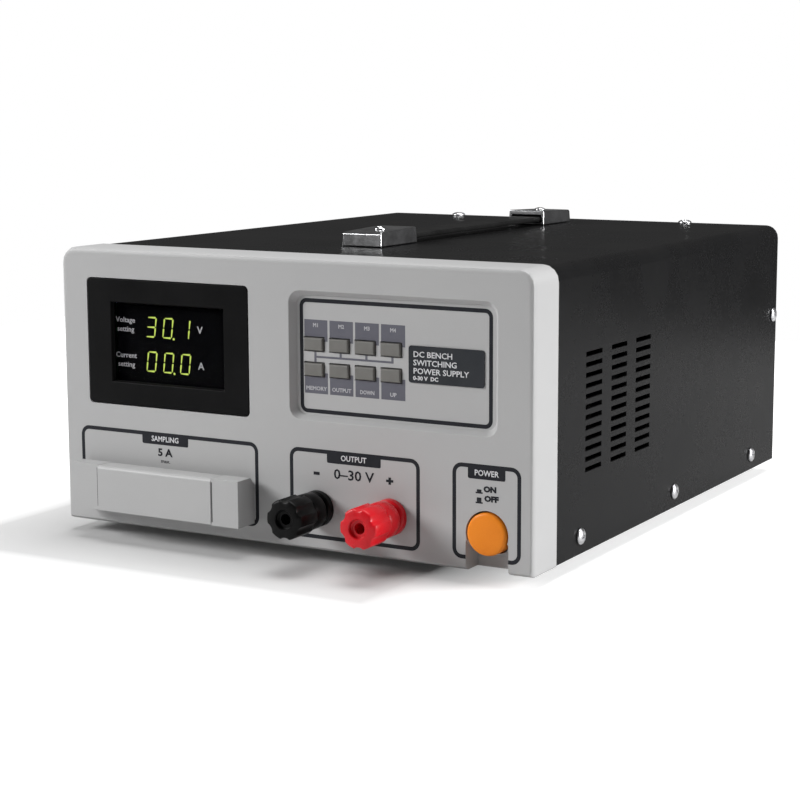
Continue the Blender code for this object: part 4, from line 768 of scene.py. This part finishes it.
# The rounding of the front rim is made a millimetre larger: the outline of the face moves in, and
# the outlines behind it move back.
ROUNDER, CLOSE = 1.0 * MM, 0.01 * MM
UPPER_CORNER, LOWER_CORNER = 6.5 * MM, 1.2 * MM
rim = min(v.co.y for v in bezel.data.vertices if v.co.x > bezel_high.x - CLOSE) - FACE_Y
for v in bezel.data.vertices:
    deep = v.co.y - FACE_Y
    radius = UPPER_CORNER if v.co.z > (bezel_low.z + bezel_high.z) / 2 else LOWER_CORNER
    limit_x = bezel_high.x - radius
    centre = Vector((min(max(v.co.x, -limit_x), limit_x), v.co.y, 0.0))
    centre.z = min(max(v.co.z, bezel_low.z + radius), bezel_high.z - radius)
    out = v.co - centre
    if deep > rim + CLOSE or out.length < radius - rim - 5 * CLOSE:
        continue
    if deep < rim * 0.9:
        v.co -= out.normalized() * (ROUNDER if deep < CLOSE else 0.3 * ROUNDER)
    v.co.y += ROUNDER * deep / rim

# Printed marks on the bezel: outlines with title tags, and captions in plain words.
FRAME_LINE, FRAME_CORNER = 1.6 * MM, 4.0 * MM
TAG_BOTTOM, TAG_MIDDLE, TAG_TOP = 35.9, 38.2, 40.4
marks = bmesh.new()
titles = bmesh.new()
scoop = (at_face(81.6, 0, 0).x, at_face(99.6, 0, 0).x)
for left, bottom, right, top, tag_left, tag_right, title, gap in (
    (-101.5, 6.6, -12.2, 41.0, -69.7, -46.5, "SAMPLING", None),
    (2.8, 5.0, 61.8, 41.0, 20.1, 44.5, "OUTPUT", None),
    (75.9, 4.6, 104.9, 41.6, 82.5, 98.3, "POWER", scoop),
):
    low, high = at_face(left, 0, bottom), at_face(right, 0, top)
    patch(marks, (low.x, low.z), (high.x, high.z), FACE_Y, FRAME_CORNER, FRAME_LINE, gap=gap)
    low, high = at_face(tag_left, 0, TAG_BOTTOM), at_face(tag_right, 0, TAG_TOP)
    patch(marks, (low.x, low.z), (high.x, high.z), FACE_Y - INK / 2, 0.7 * MM, corners="bottom")
    middle = at_face((tag_left + tag_right) / 2, 0, TAG_MIDDLE)
    lettering(titles, title, 3.1 * MM, (middle.x, FACE_Y - 2 * INK, middle.z), weight=0.00005, wide=0.95)
for words, x, z, size, weight in (
    ("5 A", -58.3, 32.6, 4.3, 0.00016),
    ("max.", -58.1, 29.1, 2.2, 0.00003),
    ("-", 15.3, 31.9, 8.0, 0.00025),
    ("0\u201330 V", 32.3, 31.6, 5.5, 0.0001),
    ("+", 48.5, 31.1, 4.7, 0.0003),
    ("ON", 91.9, 32.2, 2.9, 0.0002),
    ("OFF", 92.5, 28.6, 2.9, 0.0002),
):
    spot = at_face(x, 0, z)
    lettering(marks, words, size * MM, (spot.x, FACE_Y - INK, spot.z), weight=weight, wide=1.15)
for z, tall in ((31.3, 1.0), (27.5, 1.7)):
    low, high = at_face(85.8, 0, z - 0.9), at_face(88.8, 0, z - 0.3)
    patch(marks, (low.x, low.z), (high.x, high.z), FACE_Y)
    low, high = at_face(86.3, 0, z - 0.3), at_face(88.3, 0, z - 0.3 + tall)
    patch(marks, (low.x, low.z), (high.x, high.z), FACE_Y, 0.3 * MM)

# ---------------------------------------------------------------------------------------------
# Display: a black moulded frame flush with the face, with a sunk window of smoked acrylic. Behind
# it stand two rows of green seven-segment digits on a board.
# ---------------------------------------------------------------------------------------------
frame_black = finish(
    "frame_black",
    (0.006, 0.006, 0.0063),
    (0.0085, 0.0085, 0.0088),
    (0.34, 0.46),
    (2400.0, 0.000012),
    mottle=25.0,
    Specular_IOR_Level=0.05,
)
refined("display_frame", frame_black, 0.3 * MM, 2)
refined("display_board", board_green, 0.15 * MM)

smoke, tree, shader = plain_material(
    "smoked_acrylic", Base_Color=(0.001, 0.001, 0.002, 1.0), Roughness=0.08, Specular_IOR_Level=0.03
)
smoke.surface_render_method = "BLENDED"
place = add(tree, "TexCoord", {}).outputs["Object"]
streaks = add(tree, "TexNoise", {"Vector": place, "Scale": 60.0}).outputs["Fac"]
haze = add(tree, "MapRange", {"Value": streaks, "To Min": 0.2, "To Max": 0.24})
tree.links.new(haze.outputs["Result"], shader.inputs["Alpha"])
refined("display_window", smoke, 0.15 * MM)

DIGIT_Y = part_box("display_board")[0].y - 0.28 * MM

backing = bmesh.new()
low, high = at_face(-84.6, 0, 60.4), at_face(-27.4, 0, 94.6)
block(backing, (low.x, DIGIT_Y + 0.04 * MM, low.z), (high.x, DIGIT_Y + 0.24 * MM, high.z))
mask_black = finish(
    "mask_black", (0.0015, 0.0015, 0.002), (0.002, 0.002, 0.0025), (0.7, 0.85), (1500.0, 0.00001),
    Specular_IOR_Level=0.05,
)
from_bmesh("digit_mask", backing, mask_black, "case")

glow, tree, shader = plain_material(
    "digit_glow", Base_Color=(0.3, 0.4, 0.05, 1.0), Roughness=0.5, Emission_Strength=1.25
)
place = add(tree, "TexCoord", {}).outputs["Object"]
uneven = add(tree, "TexNoise", {"Vector": place, "Scale": 900.0}).outputs["Fac"]
green, lime = (0.42, 0.62, 0.05, 1.0), (0.8, 0.9, 0.22, 1.0)
tint = add(tree, "Mix", {"Factor": uneven, "A": green, "B": lime}, data_type="RGBA")
tree.links.new(tint.outputs["Result"], shader.inputs["Emission Color"])

SEGMENTS = {
    "top": (0.0, 1.0, 0),
    "middle": (0.0, 0.0, 0),
    "bottom": (0.0, -1.0, 0),
    "upper_left": (-0.5, 0.5, 1),
    "upper_right": (0.5, 0.5, 1),
    "lower_left": (-0.5, -0.5, 1),
    "lower_right": (0.5, -0.5, 1),
}
SHOWN = {
    "0": ("top", "bottom", "upper_left", "upper_right", "lower_left", "lower_right"),
    "1": ("upper_right", "lower_right"),
    "3": ("top", "middle", "bottom", "upper_right", "lower_right"),
}
DIGIT_HALF, DIGIT_WIDTH, STROKE, SLANT = 4.0 * MM, 4.3 * MM, 0.75 * MM, 0.13
DIGIT_FIRST, DIGIT_PITCH = -67.1, 8.5


def digit(bm, figure, at):
    """Adds one seven-segment figure: long six-sided strokes, leaning a little to the right."""
    for name in SHOWN[figure]:
        across, up, standing = SEGMENTS[name]
        stroke = bmesh.ops.create_circle(bm, cap_ends=True, segments=6, radius=STROKE / 2)
        length = (DIGIT_HALF if standing else DIGIT_WIDTH) - STROKE * 1.6
        for v in stroke["verts"]:
            v.co.x += math.copysign(length / 2, v.co.x)
        turn = Matrix.Rotation(math.pi / 2 if standing else 0.0, 4, "Z")
        lean = Matrix(((1, SLANT, 0, 0), (0, 1, 0, 0), (0, 0, 1, 0), (0, 0, 0, 1)))
        shift = Matrix.Translation((across * DIGIT_WIDTH, up * DIGIT_HALF, 0.0))
        matrix = Matrix.Translation(at) @ FACE_TURN @ lean @ shift @ turn
        bmesh.ops.transform(bm, matrix=matrix, verts=stroke["verts"])


bm = bmesh.new()
for figures, z in (("301", 83.7), ("000", 69.4)):
    for i, figure in enumerate(figures):
        spot = at_face(DIGIT_FIRST + DIGIT_PITCH * i, 0, z)
        digit(bm, figure, (spot.x, DIGIT_Y, spot.z))
    point = at_face(DIGIT_FIRST + DIGIT_PITCH + 2.8, 0, z - 4.3)
    dot = bmesh.ops.create_circle(bm, cap_ends=True, segments=12, radius=0.5 * MM)
    matrix = Matrix.Translation((point.x, DIGIT_Y, point.z)) @ FACE_TURN
    bmesh.ops.transform(bm, matrix=matrix, verts=dot["verts"])
thickened(bm, 0.12 * MM)
from_bmesh("lit_digits", bm, glow, "case")

captions = bmesh.new()
for words, x, z, size in (
    ("V", -42.6, 83.7, 4.2),
    ("A", -42.3, 69.0, 4.2),
    ("Voltage", -80.2, 86.0, 3.1),
    ("setting", -80.2, 82.2, 3.1),
    ("Current", -80.2, 71.3, 3.1),
    ("setting", -80.2, 67.5, 3.1),
):
    spot = at_face(x, 0, z)
    lettering(captions, words, size * MM, (spot.x, DIGIT_Y - INK, spot.z), weight=0.00004, wide=1.05)
# The captions are print, and their faint emission is a painted glow: they give light though they are no lamp.
caption_painted_glow = finish(
    "caption_painted_glow", (0.85, 0.85, 0.88), (0.75, 0.75, 0.78), (0.5, 0.6), (2500.0, 0.000004),
    Emission_Strength=0.22,
    Emission_Color=(0.8, 0.8, 0.85, 1.0),
)
printed("display_captions", captions, caption_painted_glow)

# ---------------------------------------------------------------------------------------------
# Keypad: eight grey moulded keys that stand a millimetre out of the recess floor, with printed
# slate patches behind them, a bracket between the rows and one dark name plate.
# ---------------------------------------------------------------------------------------------
key_grey = finish(
    "key_grey", (0.145, 0.141, 0.13), (0.16, 0.156, 0.145), (0.5, 0.65), (2600.0, 0.00002),
    mottle=300.0,
)
refined("key_board", board_green, 0.15 * MM)
for row in ("upper", "lower"):
    for column in range(1, 5):
        refined(f"key_{row}_{column}", key_grey, 0.3 * MM, 3)

FLOOR_Y = FACE_Y + 3.0 * MM
low, high = at_face(6.3, 0, 54.6), at_face(91.4, 0, 99.8)
patch(marks, (low.x, low.z), (high.x, high.z), FLOOR_Y, 3.2 * MM, 1.6 * MM)
slate = bmesh.new()
legends = bmesh.new()
names = ("M1", "M2", "M3", "M4")
actions = (("MEMORY", 1.08), ("OUTPUT", 1.03), ("DOWN", 0.9), ("UP", 1.1))
half_key_x, half_key_z = 4.75 * MM, 2.95 * MM
half_bar, bar_z = 0.5 * MM, BASE_Z + 77.0 * MM
for column in range(4):
    upper_low, upper_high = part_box(f"key_upper_{column + 1}")
    x = (upper_low.x + upper_high.x) / 2
    upper_z = (upper_low.z + upper_high.z) / 2
    lower_low, lower_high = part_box(f"key_lower_{column + 1}")
    lower_z = (lower_low.z + lower_high.z) / 2
    left, right = x - 4.5 * MM, x + 6.15 * MM
    patch(slate, (left, upper_z + half_key_z), (right, BASE_Z + 91.5 * MM), FLOOR_Y)
    patch(slate, (x + half_key_x, upper_z + 1.2 * MM), (right, upper_z + half_key_z), FLOOR_Y)
    patch(slate, (left, BASE_Z + 62.4 * MM), (right, lower_z - half_key_z), FLOOR_Y)
    patch(slate, (x + half_key_x, lower_z - half_key_z), (right, lower_z - 1.2 * MM), FLOOR_Y)
    middle = (left + right) / 2
    spot = Vector((middle, FLOOR_Y - 2 * INK, BASE_Z + 89.3 * MM))
    lettering(legends, names[column], 2.1 * MM, spot, weight=0.00006)
    spot.z = BASE_Z + 64.4 * MM
    words, wide = actions[column]
    lettering(legends, words, 2.15 * MM, spot, weight=0.00006, wide=wide)
    x += 0.5 * MM
    patch(slate, (x - half_bar, bar_z), (x + half_bar, upper_z - half_key_z), FLOOR_Y - INK / 2)
    if column == 0:
        first_x = x
        patch(slate, (x - half_bar, lower_z + half_key_z), (x + half_bar, bar_z), FLOOR_Y - INK / 2)
patch(slate, (first_x - half_bar, bar_z - 0.45 * MM), (x + half_bar, bar_z + 0.35 * MM), FLOOR_Y - INK)
PLATE_THICK = 0.35 * MM
plate = bmesh.new()
low, high = at_face(55.5, 0, 69.9), at_face(88.0, 0, 84.1)
patch(plate, (low.x, low.z), (high.x, high.z), FLOOR_Y, 1.1 * MM)
thickened(plate, -PLATE_THICK)
plate_grey = finish(
    "plate_grey",
    (0.026, 0.029, 0.034),
    (0.032, 0.035, 0.04),
    (0.3, 0.42),
    (1800.0, 0.000008),
    mottle=60.0,
    Specular_IOR_Level=0.2,
)
from_bmesh("name_plate", plate, plate_grey, "case")
for words, z, size, weight in (
    ("DC BENCH", 80.8, 3.1, 0.00004),
    ("SWITCHING", 77.6, 3.1, 0.00004),
    ("POWER SUPPLY", 74.4, 3.1, 0.00004),
    ("0-30 V  DC", 71.7, 2.1, 0.00008),
):
    spot = at_face(57.5, 0, z)
    spot.y = FLOOR_Y - PLATE_THICK - 2 * INK
    lettering(titles, words, size * MM, spot, weight=weight, wide=1.1, align="LEFT")
printed("bezel_marks", marks, ink_dark)
printed("bezel_titles", titles, ink_white)
printed("keypad_legends", legends, ink_grey)
printed("keypad_patches", slate, ink_slate)

# ---------------------------------------------------------------------------------------------
# Power button: a moulded orange cap, slightly domed with a rolled edge, on the plunger of a
# latching switch. Latched in, it stands near the face, and let out it stands 3.5 mm further forward.
# ---------------------------------------------------------------------------------------------
button_orange = finish(
    "button_orange",
    (0.86, 0.25, 0.012),
    (0.78, 0.21, 0.01),
    (0.36, 0.48),
    (2200.0, 0.00001),
    mottle=45.0,
    Specular_IOR_Level=0.25,
)
low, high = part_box("power_button")
x, z, radius = (low.x + high.x) / 2, (low.z + high.z) / 2, (high.x - low.x) / 2
bm = bmesh.new()
DOME_DEEP, SKIRT, PLUNGER_HALF = 2.0 * MM, 11.0 * MM, 2.5 * MM
dome = [(0.0, 0.0), (0.35, 0.01), (0.6, 0.035), (0.8, 0.075), (0.9, 0.13)]
dome += [(0.95, 0.22), (0.98, 0.38), (1.0, 0.62)]
profile = [(r * radius, -d * DOME_DEEP) for r, d in dome] + [(radius, -SKIRT), (0.0, -SKIRT)]
turned(bm, profile, (x, low.y, z), FACE_TURN, 64)
near = (x - PLUNGER_HALF, low.y + 10.5 * MM, z - PLUNGER_HALF)
far = (x + PLUNGER_HALF, high.y, z + PLUNGER_HALF)
block(bm, near, far, 0.3 * MM)
button = from_bmesh("button_cap", bm, button_orange, "power_button", crease=40.0)
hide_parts("power_button")
refined("power_switch_body", component_black, 0.4 * MM)

# ---------------------------------------------------------------------------------------------
# Binding posts: for each, a fixed insulating collar, a threaded stud with a 4 mm socket, a clamp
# washer, and a moulded cap with six flutes, a round shoulder and a dished end.
# ---------------------------------------------------------------------------------------------
post_black = finish(
    "post_black",
    (0.002, 0.002, 0.002),
    (0.0035, 0.0035, 0.0035),
    (0.3, 0.42),
    (1800.0, 0.00001),
    mottle=120.0,
    Specular_IOR_Level=0.12,
)
post_red = finish(
    "post_red",
    (0.62, 0.006, 0.014),
    (0.52, 0.004, 0.01),
    (0.26, 0.38),
    (1800.0, 0.00001),
    mottle=90.0,
    Specular_IOR_Level=0.3,
)
RING_STEPS = 96


def ringed(bm, rings, at, steps=RING_STEPS, closed=False):
    """A tube through rings along Y. A ring is its depth and its radius, or a radius for each angle."""

    def shape(verts, ring):
        depth, radius = ring
        for v in verts:
            angle = math.atan2(v.co.z, v.co.x)
            r = radius(angle) if callable(radius) else radius
            v.co = Vector((r * math.cos(angle), depth, r * math.sin(angle)))

    start = bmesh.ops.create_circle(bm, segments=steps, radius=1.0, matrix=FACE_TURN)
    verts = start["verts"]
    made = list(verts)
    edges = list({edge for v in verts for edge in v.link_edges})
    shape(verts, rings[0])
    for ring in rings[1:]:
        pushed = bmesh.ops.extrude_edge_only(bm, edges=edges)["geom"]
        verts = [v for v in pushed if isinstance(v, bmesh.types.BMVert)]
        fresh = set(verts)
        edges = [e for e in pushed if isinstance(e, bmesh.types.BMEdge) and set(e.verts) <= fresh]
        shape(verts, ring)
        made += verts
    if closed:
        bmesh.ops.remove_doubles(bm, verts=made, dist=0.000001)
        made = [v for v in made if v.is_valid]
    bmesh.ops.translate(bm, vec=at, verts=made)


def fluted(outer, depth):
    """A radius with six rounded flutes, one of them at the bottom."""

    def radius(angle):
        return outer - depth * max(0.0, math.cos(6.0 * (angle + math.pi / 2))) ** 0.8

    return radius


THREAD_PITCH, RINGS_PER_TURN = 1.0 * MM, 4
for colour, plastic in (("black", post_black), ("red", post_red)):
    low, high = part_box(f"post_cap_{colour}")
    x, z = (low.x + high.x) / 2, (low.z + high.z) / 2
    front, back = low.y, high.y
    shoulder = back - 7.4 * MM
    lobe, round_radius = 8.0 * MM, 7.3 * MM
    rings = [
        (front + 1.6 * MM, 2.2 * MM),
        (front + 1.6 * MM, 3.3 * MM),
        (front + 1.3 * MM, 3.65 * MM),
        (front + 0.3 * MM, 3.75 * MM),
        (front, 4.05 * MM),
        (front, fluted(lobe - 0.9 * MM, 0.75 * MM)),
        (front + 0.25 * MM, fluted(lobe - 0.35 * MM, 0.85 * MM)),
        (front + 0.8 * MM, fluted(lobe, 0.95 * MM)),
        (shoulder - 1.3 * MM, fluted(lobe, 0.95 * MM)),
        (shoulder - 0.7 * MM, fluted(lobe - 0.3 * MM, 0.8 * MM)),
        (shoulder - 0.3 * MM, 6.9 * MM),
        (shoulder + 0.2 * MM, 6.85 * MM),
        (shoulder + 0.9 * MM, round_radius),
        (back - 1.0 * MM, round_radius),
        (back - 0.3 * MM, round_radius - 0.3 * MM),
        (back, round_radius - 0.9 * MM),
        (back, 3.3 * MM),
        (front + 2.9 * MM, 3.25 * MM),
        (front + 2.9 * MM, 2.2 * MM),
        (front + 1.6 * MM, 2.2 * MM),
    ]
    bm = bmesh.new()
    ringed(bm, rings, (x, 0.0, z), closed=True)
    cap = from_bmesh(f"fluted_cap_{colour}", bm, plastic, f"cap_{colour}", crease=36.0)
    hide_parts(f"post_cap_{colour}")

    low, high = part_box(f"post_collar_{colour}")
    rings = [
        (low.y, 3.35 * MM),
        (low.y, 6.2 * MM),
        (low.y + 0.15 * MM, 6.7 * MM),
        (low.y + 0.6 * MM, 7.2 * MM),
        (low.y + 2.6 * MM, 7.25 * MM),
        (FACE_Y - 0.45 * MM, 7.25 * MM),
        (FACE_Y - 0.05 * MM, 7.0 * MM),
        (FACE_Y - 0.05 * MM, 5.0 * MM),
        (high.y, 5.0 * MM),
        (high.y, 3.35 * MM),
        (low.y, 3.35 * MM),
    ]
    bm = bmesh.new()
    ringed(bm, rings, (x, 0.0, z), 64, closed=True)
    collar = from_bmesh(f"moulded_collar_{colour}", bm, plastic, "case", crease=36.0)
    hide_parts(f"post_collar_{colour}")

    low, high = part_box(f"post_washer_{colour}")
    bm = bmesh.new()
    rings = [(low.y, 3.3 * MM), (low.y, 5.2 * MM), (low.y + 0.15 * MM, 5.4 * MM)]
    rings += [(high.y - 0.15 * MM, 5.4 * MM), (high.y, 5.2 * MM), (high.y, 3.3 * MM), (low.y, 3.3 * MM)]
    ringed(bm, rings, (x, 0.0, z), 48, closed=True)
    washer = from_bmesh(
        f"clamp_washer_{colour}", bm, plated_brass, f"washer_{colour}", crease=36.0
    )
    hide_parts(f"post_washer_{colour}")

    low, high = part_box(f"post_stud_{colour}")
    stud_front = low.y

    def threaded(depth):
        def radius(angle):
            return 2.86 * MM + 0.13 * MM * math.cos(angle - 2 * math.pi * depth / THREAD_PITCH)

        return radius

    rings = [(stud_front + 15.3 * MM, 0.4 * MM), (stud_front + 15.3 * MM, 2.35 * MM)]
    rings += [(stud_front, 2.35 * MM), (stud_front, 2.6 * MM), (stud_front + 0.25 * MM, 2.85 * MM)]
    turns = int((FACE_Y + 3.9 * MM - stud_front) / THREAD_PITCH) - 1
    for i in range(1, turns * RINGS_PER_TURN):
        depth = stud_front + 0.5 * MM + i * THREAD_PITCH / RINGS_PER_TURN
        rings.append((depth, threaded(depth)))
    nut = FACE_Y + 4.3 * MM
    nut_end = nut + 3.0 * MM
    rings += [(nut - 0.3 * MM, 2.9 * MM), (nut, 2.9 * MM), (nut, 4.4 * MM), (nut_end, 4.4 * MM)]
    rings += [(nut_end, 2.9 * MM), (high.y - 0.3 * MM, 2.9 * MM), (high.y, 2.6 * MM), (high.y, 0.4 * MM)]
    bm = bmesh.new()
    ringed(bm, rings, (x, 0.0, z), 32)
    bmesh.ops.holes_fill(bm, edges=[e for e in bm.edges if e.is_boundary], sides=0)
    lining = bmesh.new()
    lip, closed_end = stud_front + 0.05 * MM, stud_front + 15.0 * MM
    rings = [(closed_end, 0.2 * MM), (closed_end, 2.3 * MM), (lip, 2.3 * MM), (lip, 2.15 * MM)]
    rings += [(stud_front + 0.25 * MM, 2.05 * MM), (stud_front + 14.7 * MM, 2.05 * MM)]
    rings += [(stud_front + 14.7 * MM, 0.2 * MM), (closed_end, 0.2 * MM)]
    ringed(lining, rings, (x, 0.0, z), 32, closed=True)
    from_bmesh(f"socket_lining_{colour}", lining, plastic, "case", crease=36.0)
    stud = from_bmesh(f"threaded_stud_{colour}", bm, plated_brass, "case", crease=36.0)
    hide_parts(f"post_stud_{colour}")

# ---------------------------------------------------------------------------------------------
# Sampling terminal: a moulded housing in the bezel's paint with a hinged flap, and behind the flap
# a black terminal block with two sprung levers, each over a wire hole.
# ---------------------------------------------------------------------------------------------
refined("sampling_housing", silver_paint, 0.7 * MM, 4, 40.0)
refined("sampling_flap", silver_paint, 0.5 * MM, 3, 40.0)
refined("sampling_terminal_block", component_black, 0.3 * MM)
# Painted shadow: two thin black strips stand beside the flap's edges, as the shade in the seams there.
bm = bmesh.new()
for left, right, front in ((-86.5, -85.8, -9.33), (-27.1, -26.6, -11.83)):
    block(bm, at_face(left, front, 9.4), at_face(right, front + 0.3, 25.6))
from_bmesh("seam_shadow_strips", bm, component_black, "case")
lever_red = finish(
    "lever_red", (0.5, 0.012, 0.012), (0.42, 0.01, 0.01), (0.4, 0.55), (1800.0, 0.00002),
    mottle=120.0,
)
lever_black = finish(
    "lever_black", (0.012, 0.012, 0.012), (0.02, 0.02, 0.02), (0.4, 0.55), (1800.0, 0.00002),
    mottle=120.0,
)
for colour, plastic, slot in (("black", lever_black, "moulded_black"), ("red", lever_red, "lever_red")):
    node = f"terminal_lever_{colour}"
    refined(node, plastic, 0.3 * MM, 2)
    low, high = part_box(node)
    left, right = low.x + 2.0 * MM, high.x - 2.0 * MM
    front, back = low.y + 0.75 * MM, low.y + 1.35 * MM
    bm = bmesh.new()
    for i in range(3):
        z = high.z - (1.9 + 1.1 * i) * MM
        block(bm, (left, front, z - 0.25 * MM), (right, back, z + 0.25 * MM), 0.1 * MM)
    from_bmesh(f"lever_grips_{colour}", bm, plastic, f"lever_{colour}", crease=40.0)

# ---------------------------------------------------------------------------------------------
# Top cover: one sheet of steel folded over the top and both sides, punched with three columns of
# vent slots each side, and coated in satin black paint with a faint texture.
# ---------------------------------------------------------------------------------------------
cover_black = finish(
    "cover_black",
    (0.009, 0.009, 0.0093),
    (0.011, 0.011, 0.0114),
    (0.24, 0.33),
    (1300.0, 0.00001),
    mottle=24.0,
    dust=0.01,
    Specular_IOR_Level=0.06,
)
refined("top_cover", cover_black, 0.25 * MM, 2, 30.0)

# ---------------------------------------------------------------------------------------------
# Handle: a flat sprung strap in black vinyl that slides in two pressed caps of chromed steel. Each
# cap has one domed screw. When the strap is lifted it bows between the caps.
# ---------------------------------------------------------------------------------------------
handle_chrome = finish(
    "handle_chrome", (0.74, 0.74, 0.75), (0.66, 0.66, 0.68), (0.16, 0.26), (600.0, 0.000003),
    metallic=1.0, mottle=60.0,
)
CAP_DRAFT = 0.035
for end, outward in (("front", -1), ("rear", 1)):
    node = f"handle_cap_{end}"
    cap = refined(node, handle_chrome, 0.45 * MM, 3, 30.0)
    low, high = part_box(node)
    middle = (low + high) / 2
    for v in cap.data.vertices:
        drawn_in = CAP_DRAFT * (v.co.z - low.z) / (high.z - low.z)
        v.co.x -= drawn_in * v.co.x
        v.co.y -= drawn_in * (v.co.y - middle.y)
    spot = (0.0, middle.y, high.z - 0.45 * MM)
    screw(f"cap_screw_{end}", spot, "up", 25.0 * outward, scale=0.78, material=handle_chrome)

strap_vinyl = finish(
    "strap_vinyl",
    (0.009, 0.009, 0.009),
    (0.013, 0.013, 0.013),
    (0.38, 0.5),
    (1400.0, 0.00002),
    mottle=80.0,
    dust=0.01,
    Specular_IOR_Level=0.12,
)
STRAP_CUTS = 46
grip_low, grip_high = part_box("strap_grip")
strap_middle = (grip_low.y + grip_high.y) / 2
for end, sign in (("front", -1), ("rear", 1)):
    low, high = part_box(f"strap_{end}")
    tip = low.y if sign < 0 else high.y
    near, far = min(tip, strap_middle), max(tip, strap_middle)
    bm = bmesh.new()
    block(bm, (low.x, near, low.z), (high.x, far, high.z))
    long_edges = [e for e in bm.edges if abs(e.verts[0].co.y - e.verts[1].co.y) > 0.01]
    rounded(bm, long_edges, 0.75 * MM, 4)
    for i in range(1, STRAP_CUTS):
        cut_across(bm, (0, near + (far - near) * i / STRAP_CUTS, 0), (0, 1, 0))
    skin = from_bmesh(f"strap_skin_{end}", bm, strap_vinyl, None, crease=40.0)
    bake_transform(skin)
    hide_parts(f"strap_{end}")
    if sign < 0:
        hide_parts("strap_grip")
